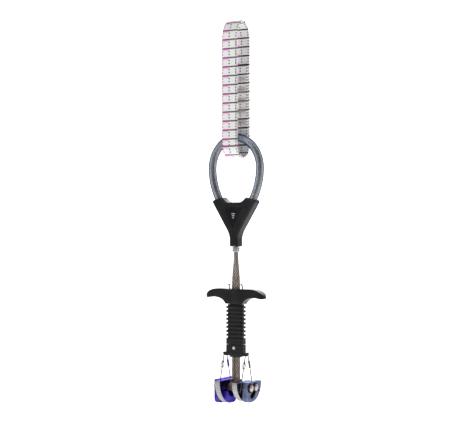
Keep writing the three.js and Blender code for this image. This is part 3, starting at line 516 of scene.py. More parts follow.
def turned_ring(name, bore, rim, low, high, soft, centre, axis):
    """A washer with softened edges, spun as one closed loop."""
    loop = [(bore, low + soft), (bore + soft, low), (rim - soft, low), (rim, low + soft),
            (rim, high - soft), (rim - soft, high), (bore + soft, high), (bore, high - soft),
            (bore, low + soft)]
    piece = spun(name, loop, centre, axis)
    joined = bmesh.new()
    joined.from_mesh(piece.data)
    bmesh.ops.remove_doubles(joined, verts=joined.verts, dist=1e-7)
    bmesh.ops.recalc_face_normals(joined, faces=joined.faces)
    joined.to_mesh(piece.data)
    joined.free()
    return piece


for side in ("left", "right"):
    for end, y in (("front", -AXLE_OFFSET), ("rear", AXLE_OFFSET)):
        node = f"axle_washer_{end}_{side}"
        low, high = (corner.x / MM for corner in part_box(node))
        ring = turned_ring(f"{end}_{side}_washer", WASHER_BORE, WASHER_RIM_RADIUS, low, high, 0.1,
                           at(0, y, 0), (1, 0, 0))
        take_over(ring, washer_painted_shade, "axle_steel", node)

# %% [markdown]
# ## Wire rope
# The stem is one length of wire rope that runs up from the axle block, round the thumb loop and down again.
# Rope is strands laid in a helix round a core, and each strand is wires laid round its own middle. Both
# steps follow the same rule, so Geometry Nodes make them: copy a curve, and push each copy out along a
# normal that turns with the distance travelled. The wires are laid the other way from the strands, which
# keeps a real rope from untwisting.

# %% A tree that lays rope
def new_tree(name, *sockets):
    """A geometry tree with named inputs; returns it with its group input and the inputs' identifiers."""
    tree = bpy.data.node_groups.new(name, "GeometryNodeTree")
    tree.interface.new_socket("Geometry", in_out="INPUT", socket_type="NodeSocketGeometry")
    identifiers = {}
    for label, kind in sockets:
        made = tree.interface.new_socket(label, in_out="INPUT", socket_type="NodeSocket" + kind)
        identifiers[label] = made.identifier
    tree.interface.new_socket("Geometry", in_out="OUTPUT", socket_type="NodeSocketGeometry")
    return tree, tree.nodes.new("NodeGroupInput").outputs, identifiers


def grow(tree, kind, inputs=(), **settings):
    """Adds a node, sets it up and links its inputs."""
    node = tree.nodes.new(kind)
    for key, value in settings.items():
        setattr(node, key, value)
    for key, value in dict(inputs).items():
        if isinstance(value, bpy.types.NodeSocket):
            tree.links.new(value, node.inputs[key])
        else:
            node.inputs[key].default_value = value
    return node


def sums(tree, operation, *values):
    return grow(tree, "ShaderNodeMath", dict(enumerate(values)), operation=operation).outputs[0]


def vector_sums(tree, operation, *values):
    return grow(tree, "ShaderNodeVectorMath", dict(enumerate(values)), operation=operation).outputs[0]


def scaled(tree, vector, length):
    return grow(tree, "ShaderNodeVectorMath", {0: vector, "Scale": length}, operation="SCALE").outputs[0]


def lay_round(tree, curve, count, distance, turn_length):
    """Lays count copies of each curve in a helix round it."""
    copies = grow(tree, "GeometryNodeDuplicateElements", {"Geometry": curve, "Amount": count},
                  domain="SPLINE")
    travelled = grow(tree, "GeometryNodeSplineParameter").outputs["Length"]
    share = sums(tree, "DIVIDE", copies.outputs["Duplicate Index"], count)
    turns = sums(tree, "ADD", share, sums(tree, "DIVIDE", travelled, turn_length))
    angle = sums(tree, "MULTIPLY", turns, 2 * math.pi)
    normal = grow(tree, "GeometryNodeInputNormal").outputs[0]
    tangent = grow(tree, "GeometryNodeInputTangent").outputs[0]
    beside = vector_sums(tree, "CROSS_PRODUCT", tangent, normal)
    reach = sums(tree, "MULTIPLY", distance, sums(tree, "COSINE", angle))
    lift = sums(tree, "MULTIPLY", distance, sums(tree, "SINE", angle))
    push = vector_sums(tree, "ADD", scaled(tree, normal, reach), scaled(tree, beside, lift))
    return grow(tree, "GeometryNodeSetPosition", {"Geometry": copies.outputs[0], "Offset": push}).outputs[0]


def skin_wire(tree, curve, radius, sides):
    ring = grow(tree, "GeometryNodeCurvePrimitiveCircle", {"Resolution": sides, "Radius": radius}).outputs[0]
    tube = grow(tree, "GeometryNodeCurveToMesh",
                {"Curve": curve, "Profile Curve": ring, "Fill Caps": True}).outputs[0]
    return grow(tree, "GeometryNodeSetShadeSmooth", {"Geometry": tube, "Shade Smooth": True}).outputs[0]


def close_tree(tree, shape, material):
    real = grow(tree, "GeometryNodeRealizeInstances", {"Geometry": shape}).outputs[0]
    painted = grow(tree, "GeometryNodeSetMaterial", {"Geometry": real, "Material": material}).outputs[0]
    out = tree.nodes.new("NodeGroupOutput")
    tree.links.new(painted, out.inputs[0])


rope_tree, given, ROPE = new_tree(
    "wire_rope", ("Step", "Float"), ("Strands", "Int"), ("Strand distance", "Float"), ("Strand lay", "Float"),
    ("Wires", "Int"), ("Wire distance", "Float"), ("Wire lay", "Float"), ("Wire radius", "Float"),
    ("Core radius", "Float"), ("Sides", "Int"), ("Material", "Material"))
line = grow(rope_tree, "GeometryNodeMeshToCurve", {"Mesh": given["Geometry"]}).outputs[0]
even = grow(rope_tree, "GeometryNodeResampleCurve", {"Curve": line, "Length": given["Step"]}, mode="LENGTH")
strands = lay_round(rope_tree, even.outputs[0], given["Strands"], given["Strand distance"],
                    given["Strand lay"])
wires = lay_round(rope_tree, strands, given["Wires"], given["Wire distance"], given["Wire lay"])
outer = skin_wire(rope_tree, wires, given["Wire radius"], given["Sides"])
core = skin_wire(rope_tree, even.outputs[0], given["Core radius"], 8)
both = grow(rope_tree, "GeometryNodeJoinGeometry")
for shape in (outer, core):
    rope_tree.links.new(shape, both.inputs[0])
close_tree(rope_tree, both.outputs[0], given["Material"])
print("rope tree", len(rope_tree.nodes), "nodes")


# %% Using a tree
def run_tree(name, points, tree, identifiers, values):
    """Runs a tree on a line of points, and returns the result as a plain mesh object."""
    mesh = bpy.data.meshes.new(name)
    mesh.from_pydata([tuple(p) for p in points], [(i, i + 1) for i in range(len(points) - 1)], [])
    piece = new_object(name, mesh)
    maker = piece.modifiers.new("maker", "NODES")
    maker.node_group = tree
    for label, value in values.items():
        maker[identifiers[label]] = value
    piece.data = evaluated_mesh(piece)
    piece.modifiers.clear()
    return piece


# %% [markdown]
# The route repeats the maker's own drawing: two straight legs in the trigger, a gentle twist above it that
# ends in the ferrule, a curve out through the saddle, and the loop. Each bend is a Bezier curve.

# %% The cable's route
SOCKET_BOTTOM = 2.7
TRIGGER_TOP = 78.5
FERRULE_BOTTOM, NECK_TOP, SADDLE_TOP = 108.0, 117.3, 150.0
NECK_CURVE = 8.7
TWIST = math.radians(57)
LOOP_FOOT, LOOP_HALF_WIDTH, LOOP_WIDEST, LOOP_CROWN = 16.0, 22.7, 175.0, 199.7
FOOT_SLOPE = (9.8, 17.6)
FOOT_HANDLE, SIDE_HANDLE = (3.9, 7), 9
ROUND = 0.5523               # a Bezier handle's share of the radius for a quarter of an ellipse


def bezier(start, first, second, end, count):
    """Points on a Bezier curve between (x, y, z) corners, without the start."""
    points = []
    for i in range(1, count + 1):
        t = i / count
        weighted = list(zip(((1 - t) ** 3, 3 * t * (1 - t) ** 2, 3 * t * t * (1 - t), t ** 3),
                            (start, first, second, end)))
        points.append(tuple(sum(w * corner[k] for w, corner in weighted) for k in range(3)))
    return points


def leg_point(side, z):
    share = max(0.0, min(1.0, (z - TRIGGER_TOP) / (FERRULE_BOTTOM - TRIGGER_TOP)))
    angle = -TWIST * share * share * (3 - 2 * share)
    return (side * CABLE_PITCH * math.cos(angle), side * CABLE_PITCH * math.sin(angle), z)


def loop_side(side):
    """From the saddle's shoulder up to the crown of the thumb loop."""
    foot = (side * LOOP_FOOT, 0, SADDLE_TOP)
    widest, crown = (side * LOOP_HALF_WIDTH, 0, LOOP_WIDEST), (0, 0, LOOP_CROWN)
    rise = ROUND * (LOOP_CROWN - LOOP_WIDEST)
    leaving = (side * (LOOP_FOOT + FOOT_HANDLE[0]), 0, SADDLE_TOP + FOOT_HANDLE[1])
    lower = bezier(foot, leaving, (widest[0], 0, LOOP_WIDEST - SIDE_HANDLE), widest, 14)
    upper = bezier(widest, (widest[0], 0, LOOP_WIDEST + rise), (ROUND * widest[0], 0, LOOP_CROWN), crown, 18)
    return lower + upper


def cable_side(side):
    """One leg, its curve through the saddle and its side of the loop."""
    heights = [SOCKET_BOTTOM + i * 3.0 for i in range(int((NECK_TOP - SOCKET_BOTTOM) / 3.0) + 1)]
    start, foot = leg_point(side, NECK_TOP), (side * LOOP_FOOT, 0, SADDLE_TOP)
    through = bezier(start, (start[0], start[1], start[2] + NECK_CURVE),
                     (foot[0] - side * FOOT_SLOPE[0], 0, foot[2] - FOOT_SLOPE[1]), foot, 16)
    return [leg_point(side, z) for z in heights if z < NECK_TOP - 1] + [start] + through + loop_side(side)


route = [at(*p) for p in cable_side(-1) + cable_side(1)[::-1][1:]]
length = sum((b - a).length for a, b in zip(route, route[1:]))
print(f"the stem takes {length * 1000:.0f} mm of rope")

# %% [markdown]
# Drawn steel wire is bright on its crests and near black in the dips between its wires. So
# each vertex stores how far out it lies from the middle of its rope, and the finish darkens towards the
# middle.

# %% Stem rope
def drawn_wire(name, dark, light):
    metal = Finish(name, Metallic=0.75)
    oil = metal.noise(metal.place((0.5, 0.5, 0.12)), 1.4, 3)
    scratch = metal.noise(metal.place((4, 4, 1)), 2.0, 2)
    middle = tuple((a + b) / 2 for a, b in zip(dark, light))
    colour = metal.steps(oil, (0.3, dark), (0.55, middle), (0.75, light))
    crest = metal.add("Attribute", attribute_name="crest").outputs["Fac"]
    colour = metal.blend(crest, shade(0.03, 0.022, 0.018), colour)
    return metal.finish(colour, metal.between(scratch, 0.24, 0.42), scratch, 0.01)


def mark_crest(piece, points, radius):
    """Stores how far out each vertex lies, from 0 in the dips to 1 on the crests."""
    tree = KDTree(len(points))
    for i, point in enumerate(points):
        tree.insert(point, i)
    tree.balance()
    crest = [max(0.0, min(1.0, (tree.find(v.co)[2] / MM - 0.76 * radius) / (0.2 * radius)))
             for v in piece.data.vertices]
    piece.data.attributes.new("crest", "FLOAT", "POINT").data.foreach_set("value", crest)


def fine_steps(points, step):
    """The same line with a point at least every step."""
    line = [points[0]]
    for a, b in zip(points, points[1:]):
        pieces = max(1, math.ceil((b - a).length / (step * MM)))
        line += [a.lerp(b, i / pieces) for i in range(1, pieces + 1)]
    return line


rope_steel = drawn_wire("rope_steel", shade(0.30, 0.235, 0.20), shade(0.86, 0.77, 0.70))
trigger_steel = drawn_wire("trigger_steel", shade(0.09, 0.085, 0.08), shade(0.30, 0.29, 0.28))
STRAND_RADIUS = CABLE_RADIUS / 3
stem_rope = run_tree("stem_rope", route, rope_tree, ROPE, {
    "Step": 1.05 * MM, "Strands": 6, "Strand distance": 2 * STRAND_RADIUS * MM, "Strand lay": 19 * MM,
    "Wires": 6, "Wire distance": STRAND_RADIUS * 2 / 3 * MM, "Wire lay": -8 * MM,
    "Wire radius": STRAND_RADIUS / 3 * MM, "Core radius": STRAND_RADIUS * MM, "Sides": 5,
    "Material": rope_steel})
mark_crest(stem_rope, fine_steps(route, 0.3), CABLE_RADIUS)
take_over(stem_rope, rope_steel, "cable_steel", "main_cable")

# %% [markdown]
# ## Clear sleeve
# A clear tube keeps the thumb loop's wires off the thumb. It is a thin wall with an open bore, so it is
# swept as two walls joined at the ends. Seen along its wall a clear tube looks dark and blue, and seen
# through its middle it is almost gone; the layer weight of its surface drives how much of it shows, and
# it paints the dark blue at the edges as painted refraction.

# %% Sweeping an outline
def sweep_rings(path, outline, across, closed=False):
    """Rings of points: each outline point is (along the across vector, along the path's own normal)."""
    rings = []
    for i, middle in enumerate(path):
        before = path[i - 1] if closed or i else path[i]
        after = path[(i + 1) % len(path)] if closed or i < len(path) - 1 else path[i]
        normal = (after - before).normalized().cross(across)
        rings.append([middle + a * MM * across + b * MM * normal for a, b in outline])
    return rings


def mesh_object(name, points, faces):
    data = bpy.data.meshes.new(name)
    data.from_pydata([tuple(p) for p in points], [], faces)
    fixed = bmesh.new()
    fixed.from_mesh(data)
    bmesh.ops.recalc_face_normals(fixed, faces=fixed.faces)
    fixed.to_mesh(data)
    fixed.free()
    for face in data.polygons:
        face.use_smooth = True
    return new_object(name, data)


def circle(radius, sides):
    return [(radius * math.cos(2 * math.pi * i / sides), radius * math.sin(2 * math.pi * i / sides))
            for i in range(sides)]


# %% The sleeve
TUBE_RADIUS, TUBE_BORE, TUBE_SEAT = 3.3, 2.1, 4.0
SLEEVE_SIDES = 28
seat = TUBE_SEAT / math.hypot(*FOOT_SLOPE)
ends = [(side * (LOOP_FOOT - seat * FOOT_SLOPE[0]), 0, SADDLE_TOP - seat * FOOT_SLOPE[1]) for side in (-1, 1)]
left = [ends[0], (-LOOP_FOOT, 0, SADDLE_TOP)] + loop_side(-1)
right = [ends[1], (LOOP_FOOT, 0, SADDLE_TOP)] + loop_side(1)
sleeve_path = [at(*p) for p in left + right[::-1][1:]]
walls = [sweep_rings(sleeve_path, circle(radius, SLEEVE_SIDES), Vector((0, 1, 0)))
         for radius in (TUBE_RADIUS, TUBE_BORE)]
points = [p for wall in walls for ring in wall for p in ring]
count = len(sleeve_path)
joins = [(wall * count + i, wall * count + i + 1) for wall in range(2) for i in range(count - 1)]
joins += [(0, count), (count - 1, 2 * count - 1)]         # the two open ends
faces = []
for first, second in joins:
    a, b = first * SLEEVE_SIDES, second * SLEEVE_SIDES
    faces += [(a + k, a + (k + 1) % SLEEVE_SIDES, b + (k + 1) % SLEEVE_SIDES, b + k)
              for k in range(SLEEVE_SIDES)]
clear_sleeve = mesh_object("clear_sleeve", points, faces)

vinyl = Finish("clear_vinyl", Specular_IOR_Level=0.25)
edge = vinyl.add("LayerWeight", {"Blend": 0.5}).outputs["Facing"]
haze = vinyl.noise(vinyl.place((0.25, 0.25, 0.25)), 1.0, 2)
# painted refraction: the walls turn dark blue where they are seen edge-on
tint = vinyl.steps(edge, (0.14, shade(0.84, 0.91, 0.98)), (0.25, shade(0.50, 0.63, 0.84)),
                   (0.35, shade(0.01, 0.02, 0.07)))
cover = vinyl.steps(edge, *((place, shade(much, much, much))
                            for place, much in ((0.06, 0.03), (0.22, 0.30), (0.34, 0.95))))
shown = vinyl.maths("ADD", cover, vinyl.between(haze, -0.04, 0.08))
vinyl.tree.links.new(shown, vinyl.shader.inputs["Alpha"])
clear_vinyl = vinyl.finish(tint, vinyl.between(haze, 0.08, 0.18))
take_over(clear_sleeve, clear_vinyl, "clear_tube", "loop_sleeve")

# %% [markdown]
# ## Springs
# Each lobe has its own torsion spring: a leg that stands between the lobes, two and a half turns round the
# axle, and a tang in the lobe's notch.

# %% Bending a wire
def bent_wire(name, points, radius, sides=10):
    """A round wire through the points, closed at both ends."""
    path = bpy.data.curves.new(name, "CURVE")
    path.dimensions, path.bevel_depth, path.use_fill_caps = "3D", radius * MM, True
    path.bevel_resolution = max(0, sides // 4)
    spline = path.splines.new("POLY")
    spline.points.add(len(points) - 1)
    for place, point in zip(spline.points, points):
        place.co = (*point, 1)
    holder = new_object(name + "_path", path)
    data = evaluated_mesh(holder)
    bpy.data.objects.remove(holder)
    for face in data.polygons:
        face.use_smooth = True
    data.name = name
    return new_object(name, data)


# %% Four springs
SPRING_WIRE, SPRING_COIL, SPRING_TURNS, SPRING_PITCH, SPRING_LEG = 0.25, 2.75, 2.5, 0.62, 4.5
WIRE_PLANE = 10.2            # the gap between an inner and an outer lobe, along the axles
SPRING_TANG = 0.9
LEG_STEPS, COIL_STEPS = 6, 84
# Each lobe has its side of the head, its axle's Y, and the way along X from the gap to the lobe.
LOBES = (("purple_outer", -1, -AXLE_OFFSET, -1), ("purple_inner", -1, AXLE_OFFSET, 1),
         ("grey_inner", 1, AXLE_OFFSET, -1), ("grey_outer", 1, -AXLE_OFFSET, 1))
for name, side, pivot, way in LOBES:
    inward = -math.copysign(1, pivot)
    x = side * WIRE_PLANE
    far = x + way * SPRING_TURNS * SPRING_PITCH
    points = [at(x, pivot + inward * SPRING_COIL, SPRING_LEG * (1 - i / LEG_STEPS)) for i in range(LEG_STEPS)]
    for i in range(COIL_STEPS + 1):
        angle = 2 * math.pi * (SPRING_TURNS - 0.25) * i / COIL_STEPS
        points.append(at(x + (far - x) * i / COIL_STEPS,
                         pivot + inward * SPRING_COIL * math.cos(angle), -SPRING_COIL * math.sin(angle)))
    points.append(at(far, pivot, -SPRING_COIL - SPRING_TANG))
    spring = bent_wire(f"{name}_torsion_spring", points, SPRING_WIRE)
    spring.data.materials.append(spring_bronze)
    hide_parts(f"spring_{name}")
    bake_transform(spring)
    print(spring.name, len(spring.data.polygons), "faces")

# %% [markdown]
# ## Trigger wires
# A thin cable runs from a ball in the carrier down to each lobe. The inner pair are looped back on
# themselves into a long eye, and the outer pair have a sleeve crimped on, purple or grey like their lobes.
# The thin cable is laid by the same tree as the stem, with single wires instead of strands.

# %% Four trigger wires
WIRE_RADIUS, WIRE_TOP, WIRE_SPREAD, WIRE_BEND = 0.4, 25.5, 2.0, 0.9
HOOK_OUT, HOOK_UP = 9.457, -2.519
LOBE_THICKNESS = 4.7
CRIMP_HEIGHT = 18.0          # where the crimps and the eyes have their middle
EYE_WIDTH, EYE_LENGTH, EYE_WIRE, EYE_TAPER = 1.25, 3.0, 0.28, 0.45
BALL_RADIUS = 0.62
CRIMP_BORE, CRIMP_RIM, CRIMP_HALF = WIRE_RADIUS + 0.06, 0.92, 3.0
CRIMP_BITES, BITE_PITCH, BITE_DEPTH = 6, 0.6, 0.13


def between_points(first, second, share):
    return tuple(a + (b - a) * share for a, b in zip(first, second))


def joined_piece(name, pieces):
    """Several closed bodies of one piece, in one mesh."""
    whole = bmesh.new()
    for piece in pieces:
        whole.from_mesh(piece.data)
        bpy.data.objects.remove(piece)
    data = bpy.data.meshes.new(name)
    whole.to_mesh(data)
    whole.free()
    for face in data.polygons:
        face.use_smooth = True
    return new_object(name, data)


def crimp_profile():
    """A tube with narrowed ends, squeezed in even bites along its middle."""
    loop = [(CRIMP_BORE, -CRIMP_HALF), (CRIMP_RIM * 0.72, -CRIMP_HALF), (CRIMP_RIM * 0.95, -CRIMP_HALF + 0.5),
            (CRIMP_RIM, -CRIMP_HALF + 0.9)]
    loop += [(CRIMP_RIM - (BITE_DEPTH if k % 2 else 0), -CRIMP_HALF + 0.9 + BITE_PITCH * k)
             for k in range(1, CRIMP_BITES + 1)]
    return loop + [(CRIMP_RIM * 0.95, CRIMP_HALF - 0.5), (CRIMP_RIM * 0.72, CRIMP_HALF),
                   (CRIMP_BORE, CRIMP_HALF), (CRIMP_BORE, -CRIMP_HALF)]


def crimp_skin(colour, dark, light):
    return moulding(f"{colour}_crimp_skin", dark, light, (0.3, 0.45), 0.02)


ball_turns = [math.pi * i / 10 for i in range(1, 10)]
ball = [(0, -BALL_RADIUS), *((BALL_RADIUS * math.sin(a), -BALL_RADIUS * math.cos(a)) for a in ball_turns),
        (0, BALL_RADIUS)]
crimp_skins = {"purple": crimp_skin("purple", shade(0.05, 0.03, 0.27), shade(0.09, 0.06, 0.38)),
               "grey": crimp_skin("grey", shade(0.10, 0.115, 0.17), shade(0.17, 0.19, 0.26))}
for name, side, pivot, way in LOBES:
    faces_to = -math.copysign(1, pivot)
    x = side * WIRE_PLANE
    top, end = (x, faces_to * WIRE_SPREAD, WIRE_TOP), (x, faces_to * HOOK_OUT, HOOK_UP)
    run = Vector(end) - Vector(top)
    corner = between_points(top, end, 1 - WIRE_BEND / run.length)
    past = (x + way * WIRE_BEND, end[1], end[2])
    tip = (x + way * LOBE_THICKNESS, end[1], end[2])
    path = [between_points(top, corner, i / 16) for i in range(17)]
    path += bezier(corner, end, end, past, 8) + [tip]
    strand = run_tree(f"{name}_strand", [at(*p) for p in path], rope_tree, ROPE, {
        "Step": 0.3 * MM, "Strands": 6, "Strand distance": WIRE_RADIUS * 2 / 3 * MM, "Strand lay": 4.2 * MM,
        "Wires": 1, "Wire distance": 0.0, "Wire lay": 1.0, "Wire radius": WIRE_RADIUS / 3 * MM,
        "Core radius": WIRE_RADIUS / 3 * MM, "Sides": 6, "Material": trigger_steel})
    mark_crest(strand, fine_steps([at(*p) for p in path], 0.2), WIRE_RADIUS)
    pieces = [strand, spun(f"{name}_ball", ball, at(*top), (0, 0, 1), 20)]
    middle = between_points(top, end, (WIRE_TOP - CRIMP_HEIGHT) / (WIRE_TOP - HOOK_UP))
    down = run.normalized()
    if name.endswith("inner"):
        across = Vector((1, 0, 0))
        eye = []
        for i in range(33):
            turn = 2 * math.pi * i / 32
            width = EYE_WIDTH * math.sin(turn) * (1 - EYE_TAPER * math.cos(turn))
            eye.append(at(*middle) + across * width * MM + down * (-EYE_LENGTH * math.cos(turn)) * MM)
        pieces.append(bent_wire(f"{name}_eye", eye, EYE_WIRE, 8))
    take_over(joined_piece(f"{name}_trigger_wire", pieces), trigger_steel, "wire_steel", f"wire_{name}")
    if name.endswith("outer"):
        colour = name.split("_")[0]
        crimp = spun(f"{name}_crimp_sleeve", crimp_profile(), at(*middle), down, 28)
        take_over(joined_piece(f"{name}_crimp", [crimp]), crimp_skins[colour], f"{colour}_crimp",
                  f"crimp_{name}")

# %% [markdown]
# ## Small parts
# Two wire hooks stand on the finger bar. They are spring wire, bent cold, so the bend is round and the end
# is snipped. The sunk panel in the saddle holds a plate on each side, printed with three plain bars.

# %% Wire hooks
HOOK_SPREAD, HOOK_SEAT, HOOK_WIRE = 6.0, 2.2, 0.5
HOOK_STRAIGHT, HOOK_BEND_START, HOOK_BEND = 0.7, 1.96, 125        # mm above the bar, and degrees
HOOK_REACH, HOOK_LIFT = 1.35, 1.5
for side, word in ((-1, "left"), (1, "right")):
    x = side * HOOK_SPREAD
    points = [at(x, 0, TRIGGER_TOP - HOOK_SEAT), at(x, 0, TRIGGER_TOP + HOOK_STRAIGHT)]
    for i in range(1, 13):
        turn = math.radians(HOOK_BEND * i / 12)
        points.append(at(x, -HOOK_REACH * (1 - math.cos(turn)),
                         TRIGGER_TOP + HOOK_BEND_START + HOOK_LIFT * math.sin(turn)))
    take_over(bent_wire(f"{word}_bar_hook", points, HOOK_WIRE, 12), hook_steel, "wire_steel",
              f"wire_hook_{word}")

# %% Label plates
for node, name in (("label_front", "front_plate"), ("label_rear", "rear_plate")):
    take_over(softened(node, name, 0.12, 2), label_plate, "label_plate", node)


def low_mark(name, outline, y, rise, faces_to):
    """A print or inlay that stands a hair above a flat face."""
    bottom, top = y, y + faces_to * rise
    count = len(outline)
    points = [at(px, level, pz) for level in (bottom, top) for px, pz in outline]
    faces = [tuple(range(count)), tuple(range(count, 2 * count))]
    faces += [(i, (i + 1) % count, count + (i + 1) % count, count + i) for i in range(count)]
    made = mesh_object(name, points, faces)
    for face in made.data.polygons:
        face.use_smooth = False
    made.data.materials.append(mark_print)
    return made


def round_bar(x, z, half_width, half_height, steps=6):
    """The outline of a bar with round ends."""
    outline = []
    for side, start in ((1, -90), (-1, 90)):
        for i in range(steps + 1):
            turn = math.radians(start + 180 * i / steps)
            outline.append((x + side * (half_width - half_height) + half_height * math.cos(turn),
                            z + half_height * math.sin(turn)))
    return outline


BAR_ROWS = ((138.6, 1.7), (137.0, 1.2), (135.4, 0.75))      # height and half width of each bar
BAR_HALF_HEIGHT, BAR_RISE, PRINT_SINK = 0.34, 0.06, 0.02
DOT_RADIUS, DOT_HEIGHT, DOT_FACE, DOT_RISE = 1.25, 31.0, 3.35, 0.1
for faces_to, word in ((-1, "front"), (1, "rear")):
    low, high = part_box(f"label_{word}")
    face_y = (high.y if faces_to > 0 else low.y) / MM - faces_to * PRINT_SINK
    for i, (z, half) in enumerate(BAR_ROWS):
        outline = round_bar(0, z, half, BAR_HALF_HEIGHT)
        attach(low_mark(f"{word}_bar_{i + 1}", outline, face_y, BAR_RISE, faces_to), "stem")
    outline = [(across, DOT_HEIGHT + up) for across, up in circle(DOT_RADIUS, 24)]
    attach(low_mark(f"{word}_dot", outline, faces_to * DOT_FACE, DOT_RISE, faces_to), "trigger")
print("prints", 8)

# %% [markdown]
# ## Sling
# The sling is one flat nylon band, 14 mm wide, threaded through the thumb loop and sewn to itself. The band
# is woven with a coloured line across it every few millimetres. Its pattern follows the band and not the
# room, so the band gets its own UV map, in millimetres across and along. A flat band that hangs straight
# doesn't need a cloth simulation: it is swept along its path, with the thickness of real webbing and soft
# edges.

# %% Webbing
WEAVE, LINE_PERIOD = "weave", 7.2


def woven(name):
    cloth = Finish(name, Specular_IOR_Level=0.25)
    spread = cloth.add("SeparateXYZ", {0: cloth.add("UVMap", uv_map=WEAVE).outputs[0]})
    across, along = spread.outputs[0], spread.outputs[1]
    inside = cloth.add("Attribute", attribute_name="inside").outputs["Fac"]

    def within(value, middle, half, soft=0.01):
        away = cloth.maths("ABSOLUTE", cloth.maths("SUBTRACT", value, middle))
        limits = {"Value": away, "From Min": half + soft, "From Max": half - soft}
        return cloth.add("MapRange", limits).outputs[0]

    phase = cloth.maths("FRACT", cloth.maths("DIVIDE", along, LINE_PERIOD))
    fuzz = cloth.noise(cloth.place((2, 2, 2)), 1.2, 3)
    yarn = cloth.maths("MULTIPLY", cloth.maths("SINE", cloth.maths("MULTIPLY", across, 2 * math.pi / 0.62)),
                       cloth.maths("SINE", cloth.maths("MULTIPLY", along, 2 * math.pi / 0.9)))
    right = cloth.add("MapRange", {"Value": cloth.maths("ADD", across, cloth.maths("MULTIPLY", inside, 1.8)),
                                   "From Min": -0.2, "From Max": 0.2}).outputs[0]
    colour = cloth.blend(fuzz, shade(0.80, 0.79, 0.78), shade(0.98, 0.97, 0.96))
    pink = cloth.maths("MULTIPLY", within(phase, 0.24, 0.09, 0.05), cloth.maths("SUBTRACT", 1.0, right))
    colour = cloth.blend(cloth.maths("MULTIPLY", pink, 0.55), colour, shade(0.72, 0.36, 0.56))
    dark = cloth.blend(inside, shade(0.13, 0.13, 0.115), shade(0.02, 0.016, 0.02))
    line = cloth.blend(right, shade(0.42, 0.012, 0.28), dark)
    colour = cloth.blend(within(phase, 0.09, 0.085), colour, line)
    dots = cloth.maths("ADD", within(phase, 0.42, 0.065), within(phase, 0.74, 0.065))
    width = cloth.maths("ABSOLUTE", across)
    columns = cloth.maths("ADD", within(width, 0.0, 0.6, 0.05), within(width, 6.3, 0.5, 0.05))
    colour = cloth.blend(cloth.maths("MULTIPLY", dots, columns), colour, shade(0.06, 0.05, 0.055))
    selvedge = cloth.maths("MULTIPLY", within(across, -6.85, 0.45, 0.1), 0.8)
    colour = cloth.blend(selvedge, colour, shade(0.20, 0.04, 0.24))
    height = cloth.maths("ADD", yarn, cloth.maths("MULTIPLY", fuzz, 0.6))
    return cloth.finish(colour, cloth.between(fuzz, 0.75, 0.9), height, 0.09)


webbing = woven("nylon_webbing")

# %% Sweeping the band
SLING_HALF_DEPTH, SLING_BIGHT, SLING_SHOULDER, SLING_RISE = 10.0, 193.2, 277.6, 16.0
STRAP, SLING_HALF_WIDTH = 1.8, 7.0


def strap_outline(half_width, thickness, soft=0.5, steps=4, columns=12):
    """A flat section with rounded edges, as (across, thickness) points."""
    corners = ((1, 1, 0), (-1, 1, 90), (-1, -1, 180), (1, -1, 270))
    outline = []
    for side, face, start in corners:
        for i in range(steps + 1):
            turn = math.radians(start + 90 * i / steps)
            outline.append((side * (half_width - soft) + soft * math.cos(turn),
                            face * (thickness / 2 - soft) + soft * math.sin(turn)))
        if start in (0, 180):
            wide = half_width - soft
            outline += [(side * wide * (1 - 2 * k / columns), face * thickness / 2)
                        for k in range(1, columns)]
    return outline


def band(name, path, outline, closed, inner_face):
    """A swept band and its length. An attribute marks the face that looks into the sling."""
    rings = sweep_rings(path, outline, Vector((1, 0, 0)), closed)
    around, count = len(outline), len(rings)
    run, travelled = [0.0], 0.0
    for i in range(count):
        travelled += (path[(i + 1) % count] - path[i]).length / MM
        run.append(travelled)
    points = [p for ring in rings for p in ring]
    faces, places = [], []
    for i in range(count if closed else count - 1):
        ahead = (i + 1) % count
        for k in range(around):
            n = (k + 1) % around
            faces.append((i * around + k, ahead * around + k, ahead * around + n, i * around + n))
            places.append(((outline[k][0], run[i]), (outline[k][0], run[i + 1]),
                           (outline[n][0], run[i + 1]), (outline[n][0], run[i])))
    if not closed:
        for i, order in ((0, range(around)), (count - 1, reversed(range(around)))):
            order = list(order)
            faces.append(tuple(i * around + k for k in order))
            places.append(tuple((outline[k][0], run[i]) for k in order))
    data = bpy.data.meshes.new(name)
    data.from_pydata([tuple(p) for p in points], [], faces)
    uvs = data.uv_layers.new(name=WEAVE)
    for face, place in zip(data.polygons, places):
        face.use_smooth = True
        for loop, uv in zip(face.loop_indices, place):
            uvs.data[loop].uv = uv
    fixed = bmesh.new()
    fixed.from_mesh(data)
    bmesh.ops.recalc_face_normals(fixed, faces=fixed.faces)
    fixed.to_mesh(data)
    fixed.free()
    side = data.attributes.new("inside", "FLOAT", "POINT")
    side.data.foreach_set("value", [1.0 if inner_face * b > 0.1 else 0.0 for _ in rings for a, b in outline])
    return new_object(name, data), run[count if closed else count - 1]


def sling_point(angle, inset):
    """A point of the sling's outline: round its bight below 0 degrees and round its top above."""
    turn = math.radians(angle)
    half = SLING_HALF_DEPTH - inset
    if angle <= 0:
        return at(0, half * math.cos(turn), SLING_BIGHT + half * math.sin(turn))
    return at(0, half * math.cos(turn), SLING_SHOULDER + (SLING_RISE - inset) * math.sin(turn))


def sling_path(inset, straight=44):
    """The closed outline, with steps along the two straight runs."""
    path = [sling_point(a, inset) for a in range(-180, 1, 5)]
    rear = [path[-1].lerp(sling_point(0.0001, inset), i / straight) for i in range(1, straight)]
    path += rear + [sling_point(max(a, 0.0001), inset) for a in range(0, 181, 5)]
    return path + [path[-1].lerp(path[0], i / straight) for i in range(1, straight)]


sling_band, sling_length = band("sling_band", sling_path(STRAP / 2),
                                strap_outline(SLING_HALF_WIDTH, STRAP), True, -1)
take_over(sling_band, webbing, "sling_webbing", "sling_webbing")
print(f"the band is {sling_length:.0f} mm round")

